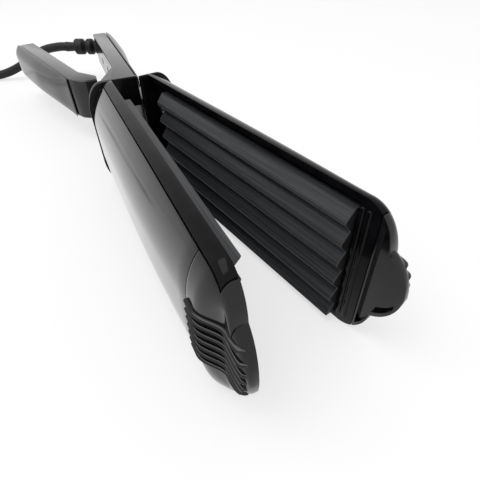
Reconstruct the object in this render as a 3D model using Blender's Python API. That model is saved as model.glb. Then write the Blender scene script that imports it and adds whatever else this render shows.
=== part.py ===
# Hair crimper lying on its side, jaws open.
#
# Frame: metres, +Z up. The origin is the middle of the flat edge on which the cord arm's jaw rests.
# +Y runs from the jaws to the handles, and the hinge pin stands along Z.
# Each arm is drawn in its closed position. There x = 0 is the plane where the two jaws meet,
# y = 0 is the hinge, and the depth of a jaw or a handle is measured away from that plane.

import math

import bmesh
import bpy
import numpy as np
from mathutils import Vector

for leftover in list(bpy.data.objects):
    bpy.data.objects.remove(leftover, do_unlink=True)

# Fits
gap = 0.0003
overrun = 0.002

# Jaws: places along the arm are distances from the hinge
jaw_height = 0.0462
jaw_depth = 0.0142
jaw_taper = 0.0024
taper_place = 0.100
jaw_start = 0.049
rim_depth = 0.003
edge_flat = 0.0004
frame_depth = 0.0069
frame_wall = 0.0022
cover_wall = 0.0016
cover_corner_height = 0.018
collar_thickness = 0.0016
collar_proud = 0.0003
collar_edge = 0.0070
collar_corner_height = 0.012
heel_reach = 0.0010
rear_ledge = 0.0141
front_gap = 0.0005
bar_width = 0.0016
bar_groove = 0.0005
bar_groove_depth = 0.0011
bar_landing = 0.0024
bar_margin = 0.0030
bar_proud = 0.0005
tip_overlap = 0.0104
web_depth = 0.0051
window_margin = 0.0040
jaw_screw_inset = 0.013
neck_screw_inset = 0.0016
corner_steps = 6
corner_share = 0.95

# Crimping plates
ridge_pitch = 0.0072
half_ridge_count = 11
ridge_height = 0.0030
crest_pass = 0.0009
plate_length = 0.1013
plate_back = 0.0046
plate_low_margin = 0.0026

# Cool tips
tip_reach = 0.0113
lobe_depth = 0.0073
lobe_half_height = 0.0121
lobe_length = 0.0094
lobe_lead = 0.03
shoulder_lead = 0.0055
shoulder_length = 0.0100
shoulder_drop = 0.0125
shoulder_fall_share = 2.4
notch_rounding = 0.0007
step_start = 0.0043
step_length = 0.0085
nose_rounding = 0.0050
nose_depth = 0.0058
nose_lift = 0.0012
nose_half = 0.0008
tip_corner_height = 0.0042
tip_edge_depth = 0.0046
tip_wall = 0.0016
panel_recess = 0.0013
rib_count = 7
rib_pitch = 0.00283
rib_width = 0.0011
rib_proud = 0.0009
rib_sink = 0.0006
rib_stations = 14

# Heaters
heater_thickness = 0.0021
heater_height = 0.013
heater_inset = 0.01865
clamp_thickness = 0.0010
clamp_margin = 0.0033
clamp_inset = 0.00865
insulator_thickness = 0.0005
insulator_margin = 0.0056
heater_screw_margin = 0.006
plate_skin = 0.0008

# Handles, drawn with the handle on the +X side
handle_height = 0.020
handle_reach = 0.104
handle_wall = 0.0020
handle_band = 0.009
handle_corner_height = 0.0062
grip_start = 0.0183
grip_inner_start = 0.0074
grip_inner_end = 0.0106
grip_hollow_start = 0.024
layer_gap = 0.0012
tray_wall = 0.0018
neck_start = 0.0487
neck_end = 0.0240
neck_block = 0.0047
neck_rear_wall = 0.0020
flange_thickness = 0.0022
flange_reach = 0.0080
gusset_length = 0.0160
gusset_width = 0.0040
gusset_drop = 0.0015
cord_cover_line = ((-0.008, 0.0162), (-0.004, 0.0170), (0.007, 0.0182), (0.018, 0.0188), (0.032, 0.0203),
                   (0.046, 0.0220), (0.060, 0.0234), (0.080, 0.0242), (0.096, 0.0245), (0.101, 0.0242),
                   (0.104, 0.0228))
free_cover_line = ((0.0114, 0.0169), (0.0181, 0.0178), (0.032, 0.0202), (0.046, 0.0220), (0.060, 0.0234),
                   (0.080, 0.0242), (0.096, 0.0245), (0.101, 0.0242), (0.104, 0.0228))
neck_outline = ((-0.0115, -0.0487), (-0.0033, -0.0487), (-0.0022, -0.0240))
upper_neck_corner = (-0.0083, -0.0240)
lower_neck_corner = (-0.0095, -0.0240)
upper_tray_left = ((0.0074, 0.0183), (-0.0065, -0.0106))
upper_tray_front = ((0.0010, -0.0132), (0.0147, -0.0106), (0.0154, -0.0080))
lower_tray_left = ((0.0074, 0.0200), (-0.0040, 0.0160), (-0.0144, 0.0084), (-0.0144, -0.0060))
lower_tray_front = ((0.0015, -0.0085), (0.0040, 0.0011))
shoulder_outline = ((0.0104, 0.0019), (0.0128, 0.0039), (0.0149, 0.0065), (0.01614, 0.0114))
shoulder_inner_corner = (0.0020, 0.0080)

# Hinge
hinge_offset = 0.005
opening_angle = math.radians(10.73)
pin_radius = 0.0025
pin_boss = 0.0044
pin_cap = 0.0026
bearing_washer_thickness = 0.0006
end_washer_radius = 0.0032
end_washer_thickness = 0.0006
end_recess_radius = 0.0035
end_recess_depth = 0.0026
hinge_screw_length = 0.0080
spring_radius = 0.0053
spring_wire = 0.0010
spring_pitch = 0.0015
spring_turns = 2.125
spring_start_angle = math.radians(-60)
spring_points_per_turn = 10
spring_leg = 0.0050
spring_upright = 0.0068

# Screws
screw_radius = 0.0011
screw_head_radius = 0.0020
screw_head_height = 0.0013
screw_hole = 0.0014
screw_boss = 0.0028
small_screw_share = 0.74
screw_sides = 12
head_crown_share = 0.7
grip_screw_places = (0.0475, 0.0700)
grip_screw_boss = 0.0032
grip_screw_recess = 0.0055
grip_screw_skin = 0.0010

# Switch and lamp, as distances behind the hinge
switch_place = 0.0355
switch_size = (0.0069, 0.0145, 0.0092)
rocker_length = 0.0112
rocker_height = 0.0062
rocker_clearance = 0.0004
rocker_rise = 0.0026
rocker_dish = 0.0005
rocker_foot = 0.0015
rocker_sink = 0.0022
rocker_tilt = math.radians(7)
rocker_foot_share = 0.55
lamp_place = 0.055
lens_radius = 0.0022
lens_flange = 0.0031
lens_flange_thickness = 0.0008
lens_proud = 0.0004
lens_crown_share = 0.6
lamp_radius = 0.0018
lamp_length = 0.0062

# Wiring
terminal_place = 0.0845
terminal_size = (0.0066, 0.0120, 0.0105)
tail_radius = 0.0027
cord_clamp_place = 0.0955
cord_clamp_size = (0.0012, 0.0034, 0.0142)
cord_clamp_post = 0.0018
lead_radius = 0.0009
tunnel_radius = 0.0018
cord_arm_lead_route = (
    (0.0150, 0.0781, 0.0255), (0.0150, 0.0764, 0.0257), (0.0146, 0.0725, 0.0286), (0.0142, 0.0660, 0.0293),
    (0.0130, 0.0450, 0.0293), (0.0123, 0.0280, 0.0292), (0.0122, 0.0160, 0.0285), (0.0119, 0.0040, 0.0282),
    (0.0096, -0.0060, 0.0282), (0.0026, -0.0078, 0.0282), (-0.0026, -0.0120, 0.0282),
    (-0.0044, -0.0190, 0.0280), (-0.0054, -0.0260, 0.0273), (-0.0066, -0.0360, 0.0250),
)
free_arm_lead_route = (
    (0.0094, 0.0084, 0.0264), (0.0092, 0.0083, 0.0232), (0.0078, 0.0080, 0.0213), (0.0050, 0.0075, 0.0211),
    (0.0012, 0.0057, 0.0211), (-0.0008, 0.0015, 0.0211), (0.0003, -0.0040, 0.0211),
    (0.0020, -0.0095, 0.0211), (0.0034, -0.0150, 0.0211), (0.0052, -0.0240, 0.0213),
    (0.0060, -0.0340, 0.0222),
)
jaw_lead_route = (
    (0.0083, -0.0440, 0.0231), (0.0088, -0.0475, 0.0231), (0.0088, -0.0520, 0.0231),
    (0.0087, -0.0620, 0.0226), (0.0085, -0.0665, 0.0214), (0.0061, -0.0704, 0.0192),
    (0.0059, -0.0760, 0.0181), (0.0059, -0.0810, 0.0180),
)

# Strain relief and cord
cord_radius = 0.0030
relief_axis = 0.0154
relief_radius = 0.0054
relief_neck = 0.0030
relief_hole = 0.0033
relief_block = (0.0063, 0.0020, 0.0100)
relief_bend_radius = 0.0060
relief_bend_angle = math.radians(60)
relief_straight = 0.0240
relief_lead_in = 0.0010
relief_rings = ((0.0, 0.0079), (0.0103, 0.0146), (0.0174, 0.0237))
relief_sides = 16
relief_station = 0.0016
relief_end_share = 1.12
cord_route = (
    (-0.00369, 0.23265, 0.0231), (-0.0089, 0.23565, 0.0230), (-0.0195, 0.2414, 0.0209),
    (-0.0303, 0.2466, 0.0156), (-0.04125, 0.2513, 0.0094), (-0.05255, 0.2555, 0.0050),
    (-0.06405, 0.2591, 0.0033), (-0.08155, 0.2638, 0.00305), (-0.0944, 0.26735, 0.00305),
    (-0.10045, 0.2690, 0.00305),
)
cord_steps = 2

# Coil and plug
coil_center = (-0.11905, 0.2240)
coil_outer_radius = 0.0483
coil_pitch = 0.0065
coil_layer_turns = 3.7
coil_start_angle = math.radians(75)
coil_floor = 0.00305
coil_points_per_turn = 24
coil_climb_turns = 0.5
coil_lead_in = 0.006
coil_end_run = 0.030
millimetres = 1000
plug_taper = 0.012
plug_length = 0.036
plug_width = 0.024
plug_height = 0.0190
plug_neck = 0.0044
plug_squareness = 2.6
plug_sides = 20
plug_swell_share = 0.62
plug_edge = 0.0012
plug_face_share = 0.92
plug_pin_length = 0.019
plug_pin_radius = 0.0020
plug_pin_spacing = 0.0186

# Colours and shading
smooth_limit = math.radians(32)
colour_black = (0.012, 0.012, 0.013)
colour_plate = (0.055, 0.056, 0.060)
colour_steel = (0.55, 0.55, 0.56)
colour_brass = (0.72, 0.52, 0.24)
colour_rubber = (0.018, 0.018, 0.019)
colour_mica = (0.62, 0.58, 0.48)
colour_nylon = (0.80, 0.79, 0.75)
colour_amber = (0.85, 0.30, 0.05)

# Worked out from the sizes above
jaw_middle = jaw_height / 2
plate_start = jaw_start + rear_ledge
plate_end = plate_start + plate_length
bar_start = plate_end + front_gap
bar_end = bar_start + 2 * bar_width + bar_groove
frame_end = bar_end + bar_landing
cover_start = jaw_start + collar_thickness + gap
cover_end = frame_end - tip_overlap
nose_end = frame_end + tip_reach
lobe_centre = nose_end - lobe_length
shoulder_start = frame_end - shoulder_lead
edge_start = rim_depth + edge_flat
collar_depth = jaw_depth + collar_proud
plate_height = ridge_pitch * half_ridge_count / 2
plate_middle = plate_low_margin + plate_height / 2
heater_length = plate_length - 2 * heater_inset
clamp_height = plate_height - 2 * clamp_margin
insulator_height = plate_height - 2 * insulator_margin
clamp_length = plate_length - 2 * clamp_inset
rest_depth = (rim_depth + frame_depth) / 2
rest_place = (jaw_start + frame_end) / 2
handle_low = jaw_middle - handle_height / 2
handle_high = jaw_middle + handle_height / 2
upper_layer = jaw_middle + layer_gap / 2
lower_layer = jaw_middle - layer_gap / 2
hollow_low = handle_low + handle_wall
hollow_high = handle_high - handle_wall
cover_inner = frame_depth + gap
pin_bore = pin_radius + gap
pivot = Vector((hinge_offset + rest_depth, rest_place, 0))


# Materials

def make_material(name, colour, roughness, metallic=0.0):
    material = bpy.data.materials.new(name)
    material.use_nodes = True
    shader = material.node_tree.nodes["Principled BSDF"]
    shader.inputs["Base Color"].default_value = (*colour, 1)
    shader.inputs["Roughness"].default_value = roughness
    shader.inputs["Metallic"].default_value = metallic
    return material


finishes = {
    "gloss": (colour_black, 0.12, 0.0),
    "plate": (colour_plate, 0.38, 0.6),
    "steel": (colour_steel, 0.30, 1.0),
    "brass": (colour_brass, 0.28, 1.0),
    "rubber": (colour_rubber, 0.65, 0.0),
    "mica": (colour_mica, 0.55, 0.0),
    "nylon": (colour_nylon, 0.50, 0.0),
    "amber": (colour_amber, 0.15, 0.0),
}


# Building blocks: each makes a closed mesh in the closed-arm frame

def polygon_prism(points, low, high):
    """Plan outline, extruded from one height to another."""
    mesh = bmesh.new()
    base = [mesh.verts.new((x, y, low)) for x, y in points]
    face = mesh.faces.new(base)
    raised = bmesh.ops.extrude_face_region(mesh, geom=[face])["geom"]
    tops = [item for item in raised if isinstance(item, bmesh.types.BMVert)]
    bmesh.ops.translate(mesh, verts=tops, vec=(0, 0, high - low))
    return mesh


def block(x_range, y_range, z_range):
    """Plain block between two corners, given as ranges."""
    (x0, x1), (y0, y1), (z0, z1) = (sorted(pair) for pair in (x_range, y_range, z_range))
    return polygon_prism(((x0, y0), (x1, y0), (x1, y1), (x0, y1)), z0, z1)


def loft(rings):
    """Skin over rings of points, closed at both ends."""
    mesh = bmesh.new()
    loops = [[mesh.verts.new(point) for point in ring] for ring in rings]
    count = len(loops[0])
    for near, far in zip(loops, loops[1:]):
        for index in range(count):
            after = (index + 1) % count
            mesh.faces.new((near[index], near[after], far[after], far[index]))
    mesh.faces.new(loops[0])
    mesh.faces.new(loops[-1])
    return mesh


def turned(profile, start, direction, sides):
    """Solid of revolution: profile gives distances along the axis and radii."""
    axis = Vector(direction).normalized()
    side = axis.orthogonal().normalized()
    other = axis.cross(side)
    rings = []
    for along, radius in profile:
        centre = Vector(start) + axis * along
        ring = []
        for step in range(sides):
            angle = math.tau * step / sides
            ring.append(centre + side * (radius * math.cos(angle)) + other * (radius * math.sin(angle)))
        rings.append(ring)
    return loft(rings)


def rod(start, direction, length, radius, sides=screw_sides):
    return turned(((0, radius), (length, radius)), start, direction, sides)


def ring_disc(centre, radius, hole, low, high, sides):
    """Flat ring about a vertical axis, as one closed band."""
    mesh = bmesh.new()
    corners = ((hole, low), (radius, low), (radius, high), (hole, high))
    loops = []
    for step in range(sides):
        angle = math.tau * step / sides
        loops.append([mesh.verts.new((centre[0] + r * math.cos(angle), centre[1] + r * math.sin(angle), z))
                      for r, z in corners])
    for index in range(sides):
        near, far = loops[index], loops[(index + 1) % sides]
        for corner in range(len(corners)):
            after = (corner + 1) % len(corners)
            mesh.faces.new((near[corner], near[after], far[after], far[corner]))
    return mesh


def mirrored(mesh, side):
    """A shape drawn on the +X side, moved to the side asked for."""
    if side < 0:
        bmesh.ops.scale(mesh, verts=mesh.verts, vec=(-1, 1, 1))
    return mesh


# Objects

class Arm:
    """One arm: its empty on the hinge axis, and the sides on which its jaw and its handle lie."""

    def __init__(self, name, jaw_side, angle):
        self.name = name
        self.jaw_side = jaw_side
        self.handle_side = -jaw_side
        self.empty = bpy.data.objects.new(name, None)
        bpy.context.scene.collection.objects.link(self.empty)
        self.empty.location = pivot
        self.empty.rotation_euler = (0, 0, angle)


def finish_mesh(mesh, name, arm, smooth=False):
    """Turn a closed-arm mesh into an object that hangs on the arm's empty."""
    bmesh.ops.recalc_face_normals(mesh, faces=mesh.faces)
    if arm is not None:
        bmesh.ops.translate(mesh, verts=mesh.verts, vec=(-hinge_offset, 0, 0))
    data = bpy.data.meshes.new(name)
    mesh.to_mesh(data)
    mesh.free()
    if smooth:
        data.shade_smooth()
        data.set_sharp_from_angle(angle=smooth_limit)
    shape = bpy.data.objects.new(name, data)
    bpy.context.scene.collection.objects.link(shape)
    if arm is not None:
        shape.parent = arm.empty
    return shape


def add_body(mesh, name, arm, finish, smooth=False):
    shape = finish_mesh(mesh, name, arm, smooth)
    shape.data.materials.append(materials[finish])
    return shape


def apply_tool(shape, mesh, arm, operation):
    """Hidden tool shape and the Boolean that uses it."""
    tool = finish_mesh(mesh, f"{shape.name}_tool_{len(shape.modifiers)}", arm)
    tool.hide_render = True
    tool.display_type = "WIRE"
    modifier = shape.modifiers.new(operation.lower(), "BOOLEAN")
    modifier.operation = operation
    modifier.solver = "EXACT"
    modifier.object = tool


def cut(shape, mesh, arm):
    apply_tool(shape, mesh, arm, "DIFFERENCE")


def join(shape, mesh, arm):
    apply_tool(shape, mesh, arm, "UNION")


# Jaws

def smooth_step(value):
    value = min(1, max(0, value))
    return value * value * (3 - 2 * value)


def rounded_section(inner, reach, outer, half, corner, place, edges):
    """Cross-section from one depth to another: flat sides, then curves towards the outer face.

    The two edges are the depths at which the lower and the upper side start to curve.
    """
    corner = min(corner, half * corner_share)
    sides = []
    for side, edge in zip((-1, 1), edges):
        first, last = (math.asin(min(1, max(0, depth - edge) / (outer - edge))) for depth in (inner, reach))
        count = corner_steps + 1
        if reach <= edge:
            row = [(inner + (reach - inner) * step / count, half) for step in range(count + 1)]
        else:
            row = [(inner, half)] if inner < edge else []
            count -= len(row)
            for step in range(count + 1):
                angle = first + (last - first) * step / count
                row.append((edge + (outer - edge) * math.sin(angle), half - corner * (1 - math.cos(angle))))
        sides.append([Vector((depth, place, jaw_middle + side * level)) for depth, level in row])
    lower, upper = sides
    return lower + upper[::-1]


def shell_step(place):
    """0 along the jaw, 1 along the thin lobe of the tip."""
    return smooth_step((place - cover_end - step_start) / step_length)


def jaw_outer(place):
    """Depth of the jaw's outer face: even at the rear, shallower towards the tip."""
    share = min(1, max(0, place - taper_place) / (cover_end - taper_place))
    return jaw_depth - jaw_taper * share * share


def shell_outer(place):
    """Outer face: the jaw's, then an S-shaped step down to the thin lobe and the nose."""
    depth = jaw_outer(place)
    depth += (lobe_depth - depth) * shell_step(place)
    rounding = max(0, (place - nose_end + nose_rounding) / nose_rounding)
    return depth - (lobe_depth - nose_depth) * (1 - math.sqrt(max(0, 1 - rounding * rounding)))


def shell_inner(place):
    """Inner edge: level with the rim, then lifting away from the closing plane towards the nose."""
    share = max(0, place - frame_end) / tip_reach
    return rim_depth + nose_lift * share * share


def shell_half(place):
    """Half the height at a distance from the hinge: even, then rounded shoulders that flow into the lobe."""
    half = jaw_height / 2
    past = (place - shoulder_start) / shoulder_length
    if past <= 0:
        return half
    if past < 1:
        shoulder = half - shoulder_drop * (1 - math.sqrt(1 - past * past))
    else:
        shoulder = half - shoulder_drop * (1 + (past - 1) * shoulder_fall_share)
    along = (place - lobe_centre) / lobe_length
    lobe = lobe_half_height * math.sqrt(max(0, 1 - along * along))
    flowing = (shoulder + lobe) / 2 + math.hypot((shoulder - lobe) / 2, notch_rounding)
    return min(half, max(flowing, nose_half))


def shell_corner(place):
    return cover_corner_height + (tip_corner_height - cover_corner_height) * shell_step(place)


def shell_edges(place):
    """Depths at which the lower and the upper side start to curve. The lower one leaves a flat to rest on."""
    step = shell_step(place)
    return tuple(edge + (tip_edge_depth - edge) * step for edge in (cover_inner, edge_start))


def shell_section(place, inner, reach, wall=0):
    """Cross-section of the shell at one place, or of the hollow inside its wall."""
    outer = shell_outer(place) - wall
    return rounded_section(inner, min(reach, outer), outer, shell_half(place) - wall,
                           shell_corner(place) - wall / 2, -place, shell_edges(place))


def shell_places(start, stop):
    """Stations along the shell: bunched where its outer face and its outline turn."""
    places = [taper_place + (cover_end - taper_place) * step / 4 for step in range(5)]
    places += [cover_end + (shoulder_start - cover_end) * step / 3 for step in range(1, 4)]
    places += [shoulder_start + shoulder_length * math.sin(math.pi / 2 * step / 6) for step in range(1, 7)]
    first = math.asin((places[-1] - lobe_centre) / lobe_length) + lobe_lead
    places += [lobe_centre + lobe_length * math.sin(first + (math.pi / 2 - first) * step / 7)
               for step in range(8)]
    return [start] + [place for place in places if start + gap < place < stop - gap] + [stop]


def make_jaw_frame(arm, heel):
    """Tray round the plate: rim, web under the plate's edge, collar at the rear and bars at the front."""
    rings = [shell_section(place, rim_depth, frame_depth)
             for place in shell_places(jaw_start + collar_thickness / 2, frame_end)]
    frame = add_body(mirrored(loft(rings), arm.jaw_side), f"{arm.name}_jaw_frame", arm, "gloss", True)
    collar = [rounded_section(rim_depth - heel, collar_depth, collar_depth, jaw_height / 2,
                              collar_corner_height, place, (collar_edge, collar_edge))
              for place in (-jaw_start, -jaw_start - collar_thickness)]
    join(frame, mirrored(loft(collar), arm.jaw_side), arm)
    tray = block((rim_depth - heel - overrun, web_depth), (-jaw_start - frame_wall, -bar_start),
                 (frame_wall, jaw_height - frame_wall))
    cut(frame, mirrored(tray, arm.jaw_side), arm)
    window = block((rim_depth, frame_depth + overrun),
                   (-plate_start - window_margin, -plate_end + window_margin),
                   (plate_middle - plate_height / 2 + window_margin / 2,
                    plate_middle + plate_height / 2 - window_margin / 2))
    cut(frame, mirrored(window, arm.jaw_side), arm)
    bars = block((rim_depth - bar_proud, rim_depth + overrun),
                 (-bar_start, -bar_end), (bar_margin, jaw_height - bar_margin))
    join(frame, mirrored(bars, arm.jaw_side), arm)
    groove = block((rim_depth - overrun, rim_depth + bar_groove_depth),
                   (-bar_start - bar_width, -bar_end + bar_width),
                   (bar_margin + bar_width, jaw_height - bar_margin - bar_width))
    cut(frame, mirrored(groove, arm.jaw_side), arm)
    for height in jaw_screw_heights():
        hole = rod((web_depth - overrun, -jaw_screw_place(), height), (1, 0, 0),
                   frame_depth - web_depth + 2 * overrun, screw_hole)
        cut(frame, mirrored(hole, arm.jaw_side), arm)
    openings = [(height, screw_hole * small_screw_share) for height in neck_screw_heights()]
    for height, radius in openings + [(jaw_middle, tunnel_radius)]:
        hole = rod((neck_screw_depth(), -jaw_start + overrun, height), (0, -1, 0),
                   collar_thickness + 2 * overrun, radius)
        cut(frame, mirrored(hole, arm.jaw_side), arm)


def jaw_screw_place():
    return jaw_start + frame_wall + (rear_ledge - frame_wall) / 2


def jaw_screw_heights():
    return (jaw_screw_inset, jaw_height - jaw_screw_inset)


def cover_mesh():
    """Wall of even thickness between the shell's outer face and its hollow, open at both ends."""
    mesh = bmesh.new()
    loops = []
    for place in shell_places(cover_start, cover_end - gap):
        outside = shell_section(place, cover_inner, jaw_depth)
        inside = shell_section(place, cover_inner, jaw_depth, cover_wall)
        loops.append([mesh.verts.new(point) for point in outside + inside[::-1]])
    count = len(loops[0])
    for near, far in zip(loops, loops[1:]):
        for index in range(count):
            after = (index + 1) % count
            mesh.faces.new((near[index], near[after], far[after], far[index]))
    for loop in (loops[0], loops[-1]):
        for index in range(count // 2 - 1):
            mesh.faces.new((loop[index], loop[index + 1], loop[-2 - index], loop[-1 - index]))
    return mesh


def make_jaw_cover(arm):
    """Outer shell of the jaw, open towards the frame and behind, where the collar closes it."""
    cover = add_body(mirrored(cover_mesh(), arm.jaw_side), f"{arm.name}_jaw_cover", arm, "gloss", True)
    depth = jaw_depth - cover_wall
    for height in jaw_screw_heights():
        boss = rod((cover_inner, -jaw_screw_place(), height), (1, 0, 0), depth + gap - cover_inner, screw_boss)
        join(cover, mirrored(boss, arm.jaw_side), arm)
        hole = rod((cover_inner - overrun, -jaw_screw_place(), height), (1, 0, 0),
                   depth - cover_inner + overrun - gap, screw_hole)
        cut(cover, mirrored(hole, arm.jaw_side), arm)


def neck_screw_depth():
    return cover_inner + neck_screw_inset


def neck_screw_heights():
    reach = handle_height / 2 - handle_wall - screw_head_radius
    return (jaw_middle - reach, jaw_middle + reach)


def shell_surface(place, offset):
    """Depth of the outer surface at a height away from the middle."""
    half = shell_half(place)
    corner = min(shell_corner(place), half * corner_share)
    outer = shell_outer(place)
    inside = half - abs(offset)
    if inside >= corner:
        return outer
    if inside <= 0:
        return None
    edge = shell_edges(place)[offset > 0]
    fall = 1 - inside / corner
    return edge + (outer - edge) * math.sqrt(1 - fall * fall)


def rib_mesh(offset):
    """Thin fin that follows the tip's outer surface lengthwise and ends at the nose."""
    start = cover_end + gap
    stop = nose_end - nose_half
    tops = []
    for step in range(rib_stations + 1):
        place = start + (stop - start) * step / rib_stations
        depth = shell_surface(place, offset)
        if depth is not None:
            tops.append((place, depth))
    outline = [(depth + rib_proud, -place) for place, depth in tops]
    outline += [(depth - rib_sink, -place) for place, depth in reversed(tops)]
    height = jaw_middle + offset
    return polygon_prism(outline, height - rib_width / 2, height + rib_width / 2)


def make_tip(arm):
    """Cool tip: shell over the frame's end, lobe with a recessed inner panel, seven ribs."""
    rings = [shell_section(place, shell_inner(place), jaw_depth) for place in shell_places(cover_end, nose_end)]
    tip = add_body(mirrored(loft(rings), arm.jaw_side), f"{arm.name}_tip", arm, "gloss", True)
    seat = block((rim_depth - overrun, cover_inner), (-cover_end + overrun, -frame_end - gap),
                 (-overrun, jaw_height + overrun))
    cut(tip, mirrored(seat, arm.jaw_side), arm)
    hollow = [shell_section(place, cover_inner - overrun, jaw_depth, cover_wall)
              for place in shell_places(cover_end - overrun, frame_end - tip_wall)]
    cut(tip, mirrored(loft(hollow), arm.jaw_side), arm)
    panel = []
    for place in shell_places(frame_end + tip_wall / 2, nose_end - tip_wall):
        level = max(shell_half(place) - tip_wall, nose_half)
        floor = shell_inner(place) + panel_recess
        panel.append([Vector((depth, -place, jaw_middle + side * level))
                      for depth, side in ((rim_depth - overrun, -1), (floor, -1), (floor, 1),
                                          (rim_depth - overrun, 1))])
    cut(tip, mirrored(loft(panel), arm.jaw_side), arm)
    for index in range(rib_count):
        offset = (index - (rib_count - 1) / 2) * rib_pitch
        join(tip, mirrored(rib_mesh(offset), arm.jaw_side), arm)


def make_plate(arm, crest_first):
    """Ridged plate with a flat back, tapped on the back for the clamp's screws."""
    crest = -crest_pass
    valley = ridge_height - crest_pass
    low = plate_middle - plate_height / 2
    points = []
    for step in range(half_ridge_count + 1):
        on_crest = (step % 2 == 0) == crest_first
        points.append((crest if on_crest else valley, low + step * ridge_pitch / 2))
    points += [(plate_back, low + plate_height), (plate_back, low)]
    rings = [[Vector((depth, place, height)) for depth, height in points]
             for place in (-plate_start, -plate_end)]
    plate = add_body(mirrored(loft(rings), arm.jaw_side), f"{arm.name}_crimp_plate", arm, "plate")
    for place in heater_screw_places():
        depth = valley + plate_skin
        hole = rod((depth, -place, heater_screw_height(crest_first)), (1, 0, 0),
                   plate_back - depth + overrun, screw_hole)
        cut(plate, mirrored(hole, arm.jaw_side), arm)


def heater_screw_places():
    middle = (plate_start + plate_end) / 2
    reach = clamp_length / 2 - heater_screw_margin
    return (middle - reach, middle + reach)


def heater_screw_height(crest_first):
    """The ridge nearest to the middle, where the plate is thickest."""
    return plate_middle + (ridge_pitch if crest_first else -ridge_pitch) / 4


def make_heater_stack(arm, crest_first):
    """Heater against the plate's back, the clamp that presses it, and the sheet behind the clamp."""
    middle = -(plate_start + plate_end) / 2
    inner = plate_back + gap
    height = (plate_middle - heater_height / 2, plate_middle + heater_height / 2)
    heater = block((inner, inner + heater_thickness),
                   (middle - heater_length / 2, middle + heater_length / 2), height)
    add_body(mirrored(heater, arm.jaw_side), f"{arm.name}_heater", arm, "nylon")
    clamp_inner = inner + heater_thickness + gap
    clamp = add_body(mirrored(block((clamp_inner, clamp_inner + clamp_thickness),
                                    (middle - clamp_length / 2, middle + clamp_length / 2),
                                    (plate_middle - clamp_height / 2, plate_middle + clamp_height / 2)),
                              arm.jaw_side), f"{arm.name}_heater_clamp", arm, "steel")
    sheet_inner = clamp_inner + clamp_thickness + gap
    sheet = add_body(mirrored(block((sheet_inner, sheet_inner + insulator_thickness),
                                    (middle - clamp_length / 2, middle + clamp_length / 2),
                                    (plate_middle - insulator_height / 2, plate_middle + insulator_height / 2)),
                              arm.jaw_side), f"{arm.name}_insulator", arm, "mica")
    level = heater_screw_height(crest_first)
    for index, place in enumerate(heater_screw_places()):
        for shape, radius in ((clamp, screw_hole), (sheet, screw_head_radius + gap)):
            hole = rod((plate_back, -place, level), (1, 0, 0), jaw_depth - plate_back, radius)
            cut(shape, mirrored(hole, arm.jaw_side), arm)
        head = clamp_inner + clamp_thickness + gap
        length = head - (ridge_height - crest_pass + plate_skin) - gap
        add_screw(f"{arm.name}_heater_screw_{index + 1}", arm, arm.jaw_side, (head, -place, level),
                  (-1, 0, 0), length)


def add_screw(name, arm, side, seat, direction, length, size=1):
    """Pan-head screw: the head stands on the seat, and the shank runs from it along the direction."""
    head, height, shank = screw_head_radius * size, screw_head_height * size, screw_radius * size
    profile = ((-height, head * head_crown_share), (-height / 2, head), (0, head),
               (0, shank), (length, shank))
    add_body(mirrored(turned(profile, seat, direction, screw_sides), side), name, arm, "steel", True)


def make_jaw_screws(arm):
    """Two screws from the tray into the cover, and two from the cover into the handle's neck."""
    for index, height in enumerate(jaw_screw_heights()):
        length = jaw_depth - cover_wall - web_depth - 2 * gap
        add_screw(f"{arm.name}_jaw_screw_{index + 1}", arm, arm.jaw_side,
                  (web_depth - gap, -jaw_screw_place(), height), (1, 0, 0), length)
    for index, height in enumerate(neck_screw_heights()):
        add_screw(f"{arm.name}_neck_screw_{index + 1}", arm, arm.jaw_side,
                  (neck_screw_depth(), -jaw_start - collar_thickness - gap, height), (0, 1, 0),
                  collar_thickness + neck_block, small_screw_share)


# Handles

def grip_inner(place):
    """Inner edge of the handle at a distance behind the hinge."""
    share = (place - grip_start) / (handle_reach - grip_start)
    return grip_inner_start + (grip_inner_end - grip_inner_start) * share


def grip_parting(place):
    return grip_inner(place) + handle_band


def grip_outer(place, line):
    return float(np.interp(place, [pair[0] for pair in line], [pair[1] for pair in line]))


def inset(points, distance):
    """Plan outline moved inwards by a wall's thickness."""
    vectors = [Vector(point) for point in points]
    area = sum(a.x * b.y - b.x * a.y for a, b in zip(vectors, vectors[1:] + vectors[:1]))
    turn = 1 if area > 0 else -1
    moved = []
    for index, corner in enumerate(vectors):
        before = (corner - vectors[index - 1]).normalized()
        after = (vectors[(index + 1) % len(vectors)] - corner).normalized()
        normal_before = Vector((-before.y, before.x)) * turn
        normal_after = Vector((-after.y, after.x)) * turn
        middle = (normal_before + normal_after).normalized()
        moved.append(corner + middle * (distance / middle.dot(normal_after)))
    return [tuple(point) for point in moved]


def grip_end_outline():
    return ((grip_parting(grip_start), grip_start), (grip_parting(handle_reach), handle_reach),
            (grip_inner_end, handle_reach))


def neck_hollow(corner):
    """Plan of the hollow in the neck, between the solid end block and the rear wall."""
    outline = inset((neck_outline[0], neck_outline[1], neck_outline[2], corner), tray_wall)
    left, right = sorted(outline[:2])
    far_right, far_left = outline[2], outline[3]
    front = -neck_start + neck_block
    rear = -neck_end - neck_rear_wall

    def slide(near, far, place):
        share = (place - near[1]) / (far[1] - near[1])
        return (near[0] + (far[0] - near[0]) * share, place)

    return (slide(left, far_left, front), slide(right, far_right, front),
            slide(right, far_right, rear), slide(left, far_left, rear))


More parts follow.
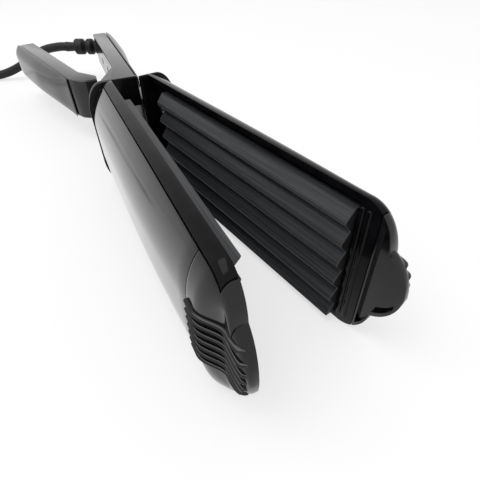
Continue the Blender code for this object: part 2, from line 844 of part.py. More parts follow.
def add_flange(handle, arm, upward, reach):
    """Flange and gusset that the jaw's collar is screwed to. It passes above or below the other neck."""
    top = jaw_height / 2 - gap
    low = handle_height / 2
    far = collar_depth - gap
    angles = [math.pi / 2 * step / corner_steps for step in range(corner_steps + 1)]
    corner = [(collar_edge + (far - collar_edge) * math.sin(angle),
               top - collar_corner_height * (1 - math.cos(angle))) for angle in angles]
    near = -neck_outline[1][0]
    outline = [(-reach, low + 2 * gap), (-reach, top), *corner, (far, handle_wall - low),
               (near, handle_wall - low), (near, low + 2 * gap)]
    rings = [[Vector((-depth, place, jaw_middle + upward * level)) for depth, level in outline]
             for place in (-neck_start, -neck_start + flange_thickness)]
    join(handle, mirrored(loft(rings), arm.handle_side), arm)
    start = -neck_start + flange_thickness / 2
    wedge = ((start, low - handle_wall / 2), (start, top - gusset_drop),
             (start + gusset_length, low - handle_wall / 2))
    middle = neck_screw_depth() - gusset_width / 2
    rings = [[Vector((-depth, place, jaw_middle + upward * level)) for place, level in wedge]
             for depth in (middle - gusset_width / 2, middle + gusset_width / 2)]
    join(handle, mirrored(loft(rings), arm.handle_side), arm)


def cut_neck(handle, arm, corner):
    """Hollow of the neck, wire tunnel and the holes for the screws that hold the jaw."""
    side = arm.handle_side
    cut(handle, mirrored(polygon_prism(neck_hollow(corner), hollow_low, hollow_high), side), arm)
    place = -neck_start - overrun
    tunnel = rod((-neck_screw_depth(), place, jaw_middle), (0, 1, 0), neck_block + 2 * overrun, tunnel_radius)
    cut(handle, mirrored(tunnel, side), arm)
    for height in neck_screw_heights():
        hole = rod((-neck_screw_depth(), place, height), (0, 1, 0), neck_block + 2 * overrun,
                   screw_hole * small_screw_share)
        cut(handle, mirrored(hole, side), arm)


def cut_grip(handle, arm):
    """Channel of the grip, open towards its cover, with a boss for each screw."""
    side = arm.handle_side
    near = grip_start + handle_wall
    far = handle_reach - handle_wall
    open_side = grip_parting(handle_reach) + overrun
    outline = ((grip_inner(near) + handle_wall, near), (grip_inner(far) + handle_wall, far),
               (open_side, far), (open_side, near))
    cut(handle, mirrored(polygon_prism(outline, hollow_low, hollow_high), side), arm)
    for place in grip_screw_places:
        inner = grip_inner(place)
        post = rod((inner + handle_wall / 2, place, jaw_middle), (1, 0, 0), handle_band - handle_wall / 2 - gap,
                   grip_screw_boss)
        join(handle, mirrored(post, side), arm)
        recess = rod((inner - overrun, place, jaw_middle), (1, 0, 0), grip_screw_recess + overrun,
                     screw_head_radius + gap)
        cut(handle, mirrored(recess, side), arm)
        hole = rod((inner, place, jaw_middle), (1, 0, 0), handle_band + overrun, screw_hole)
        cut(handle, mirrored(hole, side), arm)


def make_upper_handle(arm):
    """Inner half of the cord arm's handle: its hinge part lies in the upper layer, open below."""
    outline = (*upper_tray_left, upper_neck_corner, *neck_outline, *upper_tray_front, *grip_end_outline())
    handle = add_body(polygon_prism(outline, handle_low, handle_high), f"{arm.name}_handle", arm, "gloss")
    wide = handle_reach
    cut(handle, block((-wide, wide), (-neck_end, grip_start), (handle_low - overrun, upper_layer)), arm)
    add_flange(handle, arm, 1, flange_reach)
    cut_neck(handle, arm, upper_neck_corner)
    cut_grip(handle, arm)
    behind = grip_start + 2 * handle_wall
    before = -neck_end - 2 * neck_rear_wall
    tray = ((grip_inner(behind), behind), *upper_tray_left, upper_neck_corner,
            (upper_neck_corner[0], before), (neck_outline[2][0], before), neck_outline[2],
            *upper_tray_front, (grip_parting(behind), behind))
    cut(handle, polygon_prism(inset(tray, tray_wall), upper_layer - overrun, hollow_high), arm)
    join(handle, rod((hinge_offset, 0, upper_layer), (0, 0, 1), hollow_high - upper_layer + overrun / 2,
                     pin_boss, relief_sides), arm)
    cut(handle, rod((hinge_offset, 0, upper_layer - overrun), (0, 0, 1),
                    handle_high - pin_cap - upper_layer + overrun, pin_bore, relief_sides), arm)
    cut(handle, rod((relief_axis, handle_reach + overrun, jaw_middle), (0, -1, 0), handle_wall + 2 * overrun,
                    relief_hole, relief_sides), arm)
    for height in clamp_post_heights():
        inner = grip_inner(cord_clamp_place) + handle_wall / 2
        post = rod((inner, cord_clamp_place, height), (1, 0, 0), clamp_seat() - gap - inner, cord_clamp_post)
        join(handle, post, arm)
    hole = rod((clamp_seat(), cord_clamp_place, clamp_post_heights()[1]), (-1, 0, 0),
               cord_clamp_size[2] / 3, screw_hole * small_screw_share)
    cut(handle, hole, arm)


def clamp_post_heights():
    reach = tail_radius + gap + cord_clamp_post
    return (jaw_middle - reach, jaw_middle + reach)


def clamp_seat():
    """Where the clamp's inner face lies, just outside the cord's tail."""
    return relief_axis + tail_radius + 2 * gap


def make_lower_handle(arm):
    """Inner half of the free arm's handle: its hinge part lies in the lower layer, open above."""
    side = arm.handle_side
    outline = (*lower_tray_left, lower_neck_corner, *neck_outline, *lower_tray_front, *shoulder_outline,
               *grip_end_outline())
    handle = add_body(mirrored(polygon_prism(outline, handle_low, handle_high), side),
                      f"{arm.name}_handle", arm, "gloss")
    wide = handle_reach
    step = ((-wide, -neck_end), (lower_tray_front[1][0], -neck_end), lower_tray_front[1],
            shoulder_inner_corner, lower_tray_left[0], (-wide, lower_tray_left[0][1]))
    cut(handle, mirrored(polygon_prism(step, lower_layer, handle_high + overrun), side), arm)
    add_flange(handle, arm, -1, rim_depth)
    cut_neck(handle, arm, lower_neck_corner)
    cut_grip(handle, arm)
    before = -neck_end - 2 * neck_rear_wall
    tray = (*lower_tray_left, lower_neck_corner, (lower_neck_corner[0], before),
            (neck_outline[2][0], before), neck_outline[2], *lower_tray_front, shoulder_inner_corner)
    cut(handle, mirrored(polygon_prism(inset(tray, tray_wall), hollow_low, lower_layer + overrun), side), arm)
    behind = grip_start + 2 * handle_wall
    shoulder = (lower_tray_front[1], *shoulder_outline, (grip_parting(behind), behind),
                (grip_inner(behind), behind), lower_tray_left[0], shoulder_inner_corner)
    cut(handle, mirrored(polygon_prism(inset(shoulder, tray_wall), hollow_low, hollow_high), side), arm)
    centre = -hinge_offset
    boss = rod((centre, 0, handle_low + gap), (0, 0, 1), lower_layer - handle_low - gap, pin_boss,
               relief_sides)
    join(handle, mirrored(boss, side), arm)
    bore = rod((centre, 0, handle_low - overrun), (0, 0, 1), handle_height, pin_bore, relief_sides)
    cut(handle, mirrored(bore, side), arm)
    recess = rod((centre, 0, handle_low - overrun), (0, 0, 1), end_recess_depth + overrun,
                 end_recess_radius, relief_sides)
    cut(handle, mirrored(recess, side), arm)


def grip_section(inner, outer, half, corner, place):
    return rounded_section(inner, outer, outer, half, corner, place, (inner + gap, inner + gap))


def make_grip_cover(arm, line):
    """Outer half of the grip: rounded shell with a boss behind each screw."""
    side = arm.handle_side
    half = handle_height / 2
    rings = [grip_section(grip_parting(place) + gap, depth, half, handle_corner_height, place)
             for place, depth in line]
    cover = add_body(mirrored(loft(rings), side), f"{arm.name}_handle_cover", arm, "gloss", True)
    far = handle_reach - handle_wall
    places = [grip_hollow_start] + [place for place, depth in line if grip_hollow_start < place < far] + [far]
    hollow = [grip_section(grip_parting(place) + gap - overrun, grip_outer(place, line) - handle_wall,
                           half - handle_wall, handle_corner_height - handle_wall / 2, place)
              for place in places]
    cut(cover, mirrored(loft(hollow), side), arm)
    for place in grip_screw_places:
        start = grip_parting(place) + gap
        outer = grip_outer(place, line)
        post = rod((start, place, jaw_middle), (1, 0, 0), outer - handle_wall / 2 - start, screw_boss)
        join(cover, mirrored(post, side), arm)
        hole = rod((start - overrun, place, jaw_middle), (1, 0, 0),
                   outer - grip_screw_skin - start + overrun, screw_hole)
        cut(cover, mirrored(hole, side), arm)
    return cover


def make_grip_screws(arm, line):
    for index, place in enumerate(grip_screw_places):
        seat = grip_inner(place) + grip_screw_recess - gap
        length = grip_outer(place, line) - grip_screw_skin - gap - seat
        add_screw(f"{arm.name}_handle_screw_{index + 1}", arm, arm.handle_side, (seat, place, jaw_middle),
                  (1, 0, 0), length)


# Hinge

def make_hinge(arm, moving_arm):
    """Pin fixed in the cord arm, with a washer between the layers and a screw and washer below."""
    axis = (hinge_offset, 0)
    pin_low = handle_low + end_recess_depth + gap
    pin_high = handle_high - pin_cap - gap
    pin = add_body(rod((*axis, pin_low), (0, 0, 1), pin_high - pin_low, pin_radius, relief_sides),
                   "hinge_pin", arm, "steel", True)
    cut(pin, rod((*axis, pin_low - overrun), (0, 0, 1), hinge_screw_length + overrun, screw_hole), arm)
    washer_low = jaw_middle - bearing_washer_thickness / 2
    add_body(ring_disc(axis, pin_boss, pin_bore, washer_low, washer_low + bearing_washer_thickness,
                       relief_sides), "bearing_washer", arm, "nylon")
    end_washer_high = handle_low + end_recess_depth - gap
    end_washer_low = end_washer_high - end_washer_thickness
    add_body(ring_disc(axis, end_washer_radius, screw_hole, end_washer_low, end_washer_high, relief_sides),
             "hinge_washer", arm, "steel")
    add_screw("hinge_screw", arm, 1, (*axis, end_washer_low - gap), (0, 0, 1), hinge_screw_length)
    add_tube("return_spring", moving_arm, spring_points(), spring_wire / 2, "steel", 1)


def spring_points():
    """Torsion spring: a leg along the floor, the turns round the boss, and a leg up into the other arm."""
    floor = hollow_low + spring_wire / 2 + gap
    steps = round(spring_turns * spring_points_per_turn)

    def turn_point(share):
        angle = spring_start_angle + math.tau * spring_turns * share
        return Vector((hinge_offset + spring_radius * math.cos(angle), spring_radius * math.sin(angle),
                       floor + spring_pitch * spring_turns * share))

    turns = [turn_point(step / steps) for step in range(steps + 1)]
    heading = Vector((-math.sin(spring_start_angle), math.cos(spring_start_angle), 0))
    top = turns[-1]
    return [turns[0] - heading * spring_leg, *turns, top + Vector((0, 0, spring_upright))]


# Tubes

def smooth_route(points, steps):
    """Points of a smooth curve that passes through a route."""
    route = [Vector(point) for point in points]
    ends = [2 * route[0] - route[1], *route, 2 * route[-1] - route[-2]]
    curve = []
    for index in range(1, len(ends) - 2):
        before, here, there, after = ends[index - 1:index + 3]
        for step in range(steps):
            t = step / steps
            curve.append((2 * here + (there - before) * t
                          + (2 * before - 5 * here + 4 * there - after) * t * t
                          + (3 * here - before - 3 * there + after) * t * t * t) / 2)
    return curve + [route[-1]]


def add_tube(name, arm, points, radius, finish, fineness):
    """Round tube along points, capped at both ends."""
    data = bpy.data.curves.new(name, "CURVE")
    data.dimensions = "3D"
    data.bevel_depth = radius
    data.bevel_resolution = fineness
    data.use_fill_caps = True
    spline = data.splines.new("POLY")
    spline.points.add(len(points) - 1)
    shift = Vector((hinge_offset, 0, 0)) if arm is not None else Vector((0, 0, 0))
    for item, point in zip(spline.points, points):
        item.co = (*(Vector(point) - shift), 1)
    data.materials.append(materials[finish])
    tube = bpy.data.objects.new(name, data)
    bpy.context.scene.collection.objects.link(tube)
    if arm is not None:
        tube.parent = arm.empty
    return tube


# Switch and lamp

def make_switch(arm, cover):
    """Rocker switch behind a window in the grip's outer face."""
    outer = grip_outer(switch_place, cord_cover_line)
    depth, length, height = switch_size
    front = grip_outer(switch_place - length / 2, cord_cover_line) - handle_wall - gap
    body = add_body(block((front - depth, front),
                          (switch_place - length / 2, switch_place + length / 2),
                          (jaw_middle - height / 2, jaw_middle + height / 2)), "switch_body", arm, "nylon")
    half_length = rocker_length / 2 + rocker_clearance
    half_height = rocker_height / 2 + rocker_clearance
    axis = outer - rocker_sink
    pocket = block((axis - rocker_foot - 3 * rocker_clearance, outer + overrun),
                   (switch_place - half_length, switch_place + half_length),
                   (jaw_middle - half_height, jaw_middle + half_height))
    cut(body, pocket, arm)
    window = block((front - overrun, outer + overrun),
                   (switch_place - half_length, switch_place + half_length),
                   (jaw_middle - half_height, jaw_middle + half_height))
    cut(cover, window, arm)
    add_rocker(arm, axis)


def add_rocker(arm, axis):
    """Rocker on its own axis, tilted to the off side."""
    reach = rocker_length / 2
    edge = rocker_rise - rocker_dish * 2
    outline = ((-rocker_foot, -reach * rocker_foot_share), (-rocker_foot, reach * rocker_foot_share),
               (edge, reach), (rocker_rise, reach), (rocker_rise - rocker_dish, 0),
               (rocker_rise, -reach), (edge, -reach))
    mesh = polygon_prism(outline, -rocker_height / 2, rocker_height / 2)
    rocker = add_body(mesh, "switch_rocker", None, "gloss")
    rocker.parent = arm.empty
    rocker.location = (axis - hinge_offset, switch_place, jaw_middle)
    rocker.rotation_euler = (0, 0, -rocker_tilt)


def make_lamp(arm, cover):
    """Pilot lamp with a lens that looks through the grip's outer face."""
    outer = grip_outer(lamp_place, cord_cover_line)
    hole = rod((outer - handle_wall - overrun, lamp_place, jaw_middle), (1, 0, 0),
               handle_wall + 2 * overrun, lens_radius + gap, relief_sides)
    cut(cover, hole, arm)
    back = outer - handle_wall - gap - lens_flange_thickness
    length = outer + lens_proud - back
    profile = ((0, lens_flange), (lens_flange_thickness, lens_flange), (lens_flange_thickness, lens_radius),
               (length - lens_proud, lens_radius), (length, lens_radius * lens_crown_share))
    add_body(turned(profile, (back, lamp_place, jaw_middle), (1, 0, 0), relief_sides), "lamp_lens", arm,
             "amber", True)
    add_body(rod((back - gap - lamp_length, lamp_place, jaw_middle), (1, 0, 0), lamp_length, lamp_radius),
             "lamp", arm, "nylon", True)


# Wiring inside

def make_wiring(arm, moving_arm):
    """Terminal block, clamped end of the cord, and one lead to each heater."""
    depth, length, height = terminal_size
    inner = grip_inner(terminal_place + length / 2) + handle_wall + gap
    add_body(block((inner, inner + depth), (terminal_place - length / 2, terminal_place + length / 2),
                   (jaw_middle - height / 2, jaw_middle + height / 2)), "terminal_block", arm, "nylon")
    tail_start = terminal_place + length / 2 + gap
    tail_end = handle_reach - handle_wall - gap - relief_block[1] - gap
    add_body(rod((relief_axis, tail_start, jaw_middle), (0, 1, 0), tail_end - tail_start, tail_radius,
                 relief_sides), "cord_tail", arm, "rubber", True)
    bar = add_body(block((clamp_seat(), clamp_seat() + cord_clamp_size[0]),
                         (cord_clamp_place - cord_clamp_size[1] / 2, cord_clamp_place + cord_clamp_size[1] / 2),
                         (jaw_middle - cord_clamp_size[2] / 2, jaw_middle + cord_clamp_size[2] / 2)),
                   "cord_clamp", arm, "steel")
    level = clamp_post_heights()[1]
    cut(bar, rod((clamp_seat() - overrun, cord_clamp_place, level), (1, 0, 0),
                 cord_clamp_size[0] + 2 * overrun, screw_hole * small_screw_share), arm)
    add_screw("cord_clamp_screw", arm, 1, (clamp_seat() + cord_clamp_size[0] + gap, cord_clamp_place, level),
              (-1, 0, 0), cord_clamp_size[0] + cord_clamp_size[2] / 4, small_screw_share)
    for owner, route in ((arm, cord_arm_lead_route), (moving_arm, free_arm_lead_route)):
        points = list(route) + [(owner.jaw_side * depth, place, height) for depth, place, height in jaw_lead_route]
        add_tube(f"{owner.name}_lead", owner, smooth_route(points, 2), lead_radius, "rubber", 1)


# Strain relief, cord, coil and plug

def relief_point(along):
    """Place and direction on the strain relief's axis, measured from the handle's end face."""
    start = Vector((relief_axis, handle_reach + gap, jaw_middle))
    if along <= relief_lead_in:
        return start + Vector((0, along, 0)), Vector((0, 1, 0))
    centre = start + Vector((-relief_bend_radius, relief_lead_in, 0))
    angle = min((along - relief_lead_in) / relief_bend_radius, relief_bend_angle)
    point = centre + relief_bend_radius * Vector((math.cos(angle), math.sin(angle), 0))
    direction = Vector((-math.sin(angle), math.cos(angle), 0))
    rest = along - relief_lead_in - relief_bend_radius * relief_bend_angle
    return point + direction * max(0, rest), direction


def relief_length():
    return relief_lead_in + relief_bend_radius * relief_bend_angle + relief_straight


def relief_profile():
    """Distances along the relief with the radius at each: three rings with necks between, then a cone."""
    inside = -(handle_wall + 3 * gap)
    profile = [(inside, relief_neck), (0, relief_neck)]
    for start, stop in relief_rings:
        profile += [(start, relief_neck), (start, relief_radius)]
        steps = max(1, round((stop - start) / relief_station))
        profile += [(start + (stop - start) * step / steps, relief_radius) for step in range(1, steps + 1)]
        profile.append((stop, relief_neck))
    profile.append((relief_length(), cord_radius * relief_end_share))
    return [pair for index, pair in enumerate(profile) if index == 0 or pair != profile[index - 1]]


def make_relief(arm):
    rings = []
    for along, radius in relief_profile():
        centre, direction = relief_point(along)
        side = Vector((direction.y, -direction.x, 0))
        ring = []
        for step in range(relief_sides):
            angle = math.tau * step / relief_sides
            ring.append(centre + side * (radius * math.cos(angle)) + Vector((0, 0, radius * math.sin(angle))))
        rings.append(ring)
    relief = add_body(loft(rings), "strain_relief", arm, "rubber", True)
    width, length, height = relief_block
    far = handle_reach - handle_wall - gap
    inner = grip_inner(handle_reach) + handle_wall + gap
    join(relief, block((inner, inner + width), (far - length, far),
                       (jaw_middle - height / 2, jaw_middle + height / 2)), arm)


def coil_points():
    """Flat coil of two layers: it winds in on the surface, climbs one layer, and winds out again."""
    total = 2 * coil_layer_turns
    steps = round(total * coil_points_per_turn)
    points = []
    for step in range(steps + 1):
        turns = total * step / steps
        radius = coil_outer_radius - coil_pitch * (coil_layer_turns - abs(turns - coil_layer_turns))
        angle = coil_start_angle + math.tau * turns
        climb = smooth_step((turns - coil_layer_turns) / coil_climb_turns + 1 / 2)
        points.append(Vector((coil_center[0] + radius * math.cos(angle),
                              coil_center[1] + radius * math.sin(angle), coil_floor + coil_pitch * climb)))
    return points


def coil_heading(angle):
    return Vector((-math.sin(angle), math.cos(angle), 0))


def coil_end_angle():
    return coil_start_angle + math.tau * 2 * coil_layer_turns


def coil_clearance(points):
    """Smallest gap between one turn and another, measured on the tube's points."""
    places = np.array([tuple(point) for point in points])
    apart = round(coil_points_per_turn * coil_climb_turns)
    nearest = min(float(np.min(np.linalg.norm(places[index + apart:] - places[index], axis=1)))
                  for index in range(len(places) - apart))
    return nearest - 2 * cord_radius


def make_cord(arm):
    """Free stretch of the cord, its put-away length, and the plug at its end."""
    add_tube("cord", None, smooth_route(cord_route, cord_steps), cord_radius, "rubber", 2)
    turns = coil_points()
    start = turns[0] - coil_heading(coil_start_angle) * coil_lead_in
    heading = coil_heading(coil_end_angle())
    stop = turns[-1] + heading * coil_end_run
    add_tube("cord_coil", None, [start, *turns, stop], cord_radius, "rubber", 1)
    print("gap between turns of the coil in mm:", round(coil_clearance(turns) * millimetres, 3))
    make_plug(stop + heading * gap, heading)


def squared_ring(centre, side, half_width, half_height, squareness):
    """Rounded rectangle across the plug's axis."""
    ring = []
    for step in range(plug_sides):
        angle = math.tau * step / plug_sides
        across, up = math.cos(angle), math.sin(angle)
        reach = (abs(across) ** squareness + abs(up) ** squareness) ** (-1 / squareness)
        ring.append(centre + side * (half_width * across * reach) + Vector((0, 0, half_height * up * reach)))
    return ring


def make_plug(start, heading):
    """Two-pin plug: tapered neck, rounded body resting on the surface, two round pins."""
    side = Vector((heading.y, -heading.x, 0))
    stations = ((0, 0), (plug_taper / 2, plug_swell_share), (plug_taper, 1), (plug_length - plug_edge, 1),
                (plug_length, plug_face_share))
    rings = []
    for along, share in stations:
        half_width = plug_neck + (plug_width / 2 - plug_neck) * share
        half_height = plug_neck + (plug_height / 2 - plug_neck) * share
        rings.append(squared_ring(start + heading * along, side, half_width, half_height,
                                  2 + (plug_squareness - 2) * min(1, share)))
    add_body(loft(rings), "plug_body", None, "rubber", True)
    for index, offset in enumerate((-plug_pin_spacing / 2, plug_pin_spacing / 2)):
        foot = start + heading * (plug_length + gap) + side * offset
        profile = ((0, plug_pin_radius), (plug_pin_length - plug_pin_radius / 2, plug_pin_radius),
                   (plug_pin_length, plug_pin_radius / 2))
        add_body(turned(profile, foot, heading, screw_sides), f"plug_pin_{index + 1}", None, "brass", True)


# Assembly

materials = {name: make_material(name, *finish) for name, finish in finishes.items()}
cord_arm = Arm("cord_arm", -1, 0)
free_arm = Arm("free_arm", 1, opening_angle)

for arm, crest_first, heel in ((cord_arm, False, 0), (free_arm, True, rim_depth + heel_reach)):
    make_jaw_frame(arm, heel)
    make_jaw_cover(arm)
    make_tip(arm)
    make_plate(arm, crest_first)
    make_heater_stack(arm, crest_first)
    make_jaw_screws(arm)

make_upper_handle(cord_arm)
make_lower_handle(free_arm)
switch_cover = make_grip_cover(cord_arm, cord_cover_line)
make_grip_cover(free_arm, free_cover_line)
make_grip_screws(cord_arm, cord_cover_line)
make_grip_screws(free_arm, free_cover_line)
make_hinge(cord_arm, free_arm)
make_switch(cord_arm, switch_cover)
make_lamp(cord_arm, switch_cover)
make_wiring(cord_arm, free_arm)
make_relief(cord_arm)
make_cord(cord_arm)
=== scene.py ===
import math

import bmesh
import bpy
import numpy as np
from mathutils import Matrix, Vector


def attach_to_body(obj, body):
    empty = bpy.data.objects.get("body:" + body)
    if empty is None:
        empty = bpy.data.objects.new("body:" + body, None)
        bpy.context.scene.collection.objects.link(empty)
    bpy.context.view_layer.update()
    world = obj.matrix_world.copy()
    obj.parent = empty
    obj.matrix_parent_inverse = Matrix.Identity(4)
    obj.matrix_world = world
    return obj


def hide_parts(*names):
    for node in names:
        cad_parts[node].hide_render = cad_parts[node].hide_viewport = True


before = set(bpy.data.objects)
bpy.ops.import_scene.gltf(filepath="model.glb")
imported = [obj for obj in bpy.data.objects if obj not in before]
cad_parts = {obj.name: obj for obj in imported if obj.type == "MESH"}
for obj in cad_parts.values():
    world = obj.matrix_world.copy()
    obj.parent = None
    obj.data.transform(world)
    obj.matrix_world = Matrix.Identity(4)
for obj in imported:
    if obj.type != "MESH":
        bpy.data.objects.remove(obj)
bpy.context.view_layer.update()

# Sizes, in metres. Depth is measured from the plane where the jaws meet, places along the arm from the
# hinge (the handles' own places point the other way), and levels up from the table.
pivot = Vector((0.00995, 0.110, 0))
hinge_offset = 0.005
opening = math.radians(10.73)
middle = 0.0231  # level of the arms' middle plane
gap = 0.0003  # left between neighbouring pieces
overshoot = 0.002  # how far a cutting tool reaches past the face it opens
full_reach = 0.02  # deeper than any outer face
corner_limit = 0.95  # largest share of the half height that a rounding takes
z_axis = Vector((0, 0, 1))

# Jaw: outer shell
jaw_start = 0.049
jaw_depth = 0.0142
jaw_taper = 0.0024
jaw_corner = 0.018
taper_place = 0.100
edge_start = 0.0034
shell_wall = 0.0016
cover_start = 0.0509
cover_end = 0.1606
cover_inner = 0.0072
nose_end = 0.1823
nose_depth = 0.0058
nose_lift = 0.0012
nose_rounding = 0.0050

# Jaw: frame with its collar and the two bars at the end
frame_end = 0.171
frame_depth = 0.0069
rim_depth = 0.003
tray_start = 0.0512
tray_depth = 0.0051
tray_level = (0.0022, 0.0440)
window_place = (0.0671, 0.1604)
window_level = (0.0046, 0.0402)
bar_start = 0.1649
bar_end = 0.1686
bar_thickness = 0.0016
bar_depth = (0.0025, 0.0040)
bar_level = (0.0030, 0.0432)
collar_depth = 0.0145
collar_thickness = 0.0016
collar_corner = 0.012
collar_edge = 0.0070
heel_reach = 0.0010

# Jaw: the step behind the ribs, the shoulders and the thin lobe of the tip
step_start = 0.0043
step_length = 0.0085
shoulder_start = frame_end - 0.0055
shoulder_length = 0.0100
shoulder_drop = 0.0125
shoulder_slope = 2.4
shoulder_blend = 0.0007
lobe_length = 0.0094
lobe_half = 0.0121
lobe_centre = nose_end - lobe_length
lobe_depth = 0.0073
lobe_corner = 0.0042
lobe_edge = 0.0046
least_half = 0.0008
panel_start = frame_end + 0.0008
panel_floor = 0.0013

rib_count = 7
rib_pitch = 0.00283
rib_half = 0.0005
rib_proud = 0.0009
rib_inset = (0.0006, 0.0010)
rib_profile = ((-1, -0.6), (-1, 0.25), (-0.72, 0.78), (0, 1), (0.72, 0.78), (1, 0.25), (1, -0.6))

# Crimping plate
plate_start = 0.0631
plate_stop = 0.1644
plate_chamfer = 0.0003
plate_chamfer_depth = 0.0002
plate_low = 0.0026
plate_back = 0.0046
ridge_pitch = 0.0072
ridge_count = 5.5
ridge_height = 0.0030
ridge_crest = -0.0009
ridge_blur = 0.00045
ridge_samples = 24

# Handles
handle_low, handle_high = 0.0131, 0.0331
hollow_low, hollow_high = 0.0151, 0.0311
hollow_start, hollow_end = 0.0203, 0.102
hollow_depth = 0.0216
handle_end = 0.1040
handle_foot = 0.0183
neck_end = 0.0487
cord_neck_low = 0.0237
free_neck_high = 0.0225
neck_wall = 0.0018
cord_boss = (cord_neck_low, 0.0321)
cord_bore = (cord_neck_low - overshoot, 0.0305)
free_boss = (0.0134, free_neck_high)
free_bore = (0.011, 0.031)
end_recess = (0.011, 0.0157)
boss_radius = 0.0044
bore_radius = 0.0028
end_recess_radius = 0.0035
grip_screws = (0.0475, 0.0700)
grip_screw_bore = 0.0023
grip_half = 0.010
grip_corner = 0.0062
grip_wall = 0.002
grip_corner_wall = 0.001
grip_straight_end = 0.096
rocker_place = 0.0355
rocker_window = (0.0295, 0.0415)
rocker_window_depth = 0.0045
rocker_window_half = 0.0035
lamp_place = 0.055
lamp_hole_depth = 0.004
lamp_hole_radius = 0.0025
flange_thickness = 0.0022
flange_reach = {"cord": 0.0080, "free": rim_depth}
flange_low = 0.0106
flange_foot = (0.0033, -0.008)
gusset_depth = (0.0048, 0.0088)

# Strain relief, cord, coil and plug
relief_exit = 0.0154
relief_straight = 0.001
relief_radius = 0.006
relief_turn = math.radians(60)
relief_rest = 0.024
relief_neck = 0.0030
ring_radius = 0.0045
ring_rounding = 0.0009
cord_radius = 0.0030
coil_centre = (-0.11905, 0.2240)
coil_radius = 0.0483
coil_pitch = 0.0065
coil_level = 0.00305
coil_start_angle = math.radians(75)
layer_turns = 3.7
climb_turns = 0.5
plug_length = 0.036
plug_neck = 0.0044
plug_half = (0.012, 0.0095)
prong_offset = 0.0093

# Return spring and leads
spring_turns = 2.125
spring_radius = 0.0053
spring_pitch = 0.0015
spring_low = 0.0159
spring_start_angle = math.radians(-60)
spring_wire_radius = 0.0005
lead_radius = 0.0009

table_half = 6
table_drop = 0.00005  # keeps the table's face clear of the parts that lie on it

bodies = {"cord": "cord_arm_body", "free": "free_arm_body"}
jaw_side = {"cord": -1, "free": 1}
arm_angle = {"cord": 0.0, "free": opening}


# Camera: at the photo's place, height and tilt

def make_camera():
    data = bpy.data.cameras.new("camera")
    camera = bpy.data.objects.new("camera", data)
    bpy.context.scene.collection.objects.link(camera)
    azimuth, pitch, roll = (math.radians(angle) for angle in (65.187, 41.2525, -1.52))
    ahead = Vector((math.cos(azimuth) * math.cos(pitch), math.sin(azimuth) * math.cos(pitch),
                    -math.sin(pitch)))
    right = Vector((math.sin(azimuth), -math.cos(azimuth), 0))
    up = right.cross(ahead)
    turned_right = right * math.cos(roll) + up * math.sin(roll)
    turned_up = up * math.cos(roll) - right * math.sin(roll)
    rotation = Matrix((turned_right, turned_up, -ahead)).transposed().to_4x4()
    camera.matrix_world = Matrix.Translation((-0.01831, -0.10576, 0.0966)) @ rotation
    data.sensor_width = 36
    data.lens = data.sensor_width * 371.448 / 480  # the photo's focal length and width in pixels
    data.clip_start = 0.005
    data.clip_end = 20
    bpy.context.scene.camera = camera


make_camera()


# Materials

def material(name, base, light, roughness, spread, metallic=0.0, scale=220.0, stretch=(1, 1, 1), bump=0.0,
             coat=0.0, specular=0.5, detail=4.0, turn=0.0):
    """Surface whose colour and roughness wander between two values with a noise.

    scale, detail, stretch and turn shape the noise; stretch and turn give the plates their grain."""
    made = bpy.data.materials.new(name)
    made.use_nodes = True
    tree = made.node_tree
    shader = tree.nodes["Principled BSDF"]
    shader.inputs["Metallic"].default_value = metallic
    shader.inputs["Coat Weight"].default_value = coat
    shader.inputs["Coat Roughness"].default_value = 0.05
    shader.inputs["Specular IOR Level"].default_value = specular
    place = tree.nodes.new("ShaderNodeTexCoord")
    mapping = tree.nodes.new("ShaderNodeMapping")
    mapping.vector_type = "TEXTURE"
    mapping.inputs["Rotation"].default_value = (0, 0, turn)
    mapping.inputs["Scale"].default_value = tuple(1 / share for share in stretch)
    noise = tree.nodes.new("ShaderNodeTexNoise")
    noise.inputs["Scale"].default_value = scale
    noise.inputs["Detail"].default_value = detail
    tree.links.new(place.outputs["Object"], mapping.inputs["Vector"])
    tree.links.new(mapping.outputs["Vector"], noise.inputs["Vector"])
    ramp = tree.nodes.new("ShaderNodeValToRGB")
    ramp.color_ramp.elements[0].position = 0.35
    ramp.color_ramp.elements[1].position = 0.65
    ramp.color_ramp.elements[0].color = (*base, 1)
    ramp.color_ramp.elements[1].color = (*light, 1)
    tree.links.new(noise.outputs["Fac"], ramp.inputs["Fac"])
    tree.links.new(ramp.outputs["Color"], shader.inputs["Base Color"])
    grade = tree.nodes.new("ShaderNodeMapRange")
    grade.inputs["To Min"].default_value = roughness
    grade.inputs["To Max"].default_value = roughness + spread
    tree.links.new(noise.outputs["Fac"], grade.inputs["Value"])
    tree.links.new(grade.outputs["Result"], shader.inputs["Roughness"])
    if bump:
        relief = tree.nodes.new("ShaderNodeBump")
        relief.inputs["Strength"].default_value = bump
        relief.inputs["Distance"].default_value = 0.0002
        tree.links.new(noise.outputs["Fac"], relief.inputs["Height"])
        tree.links.new(relief.outputs["Normal"], shader.inputs["Normal"])
    return made


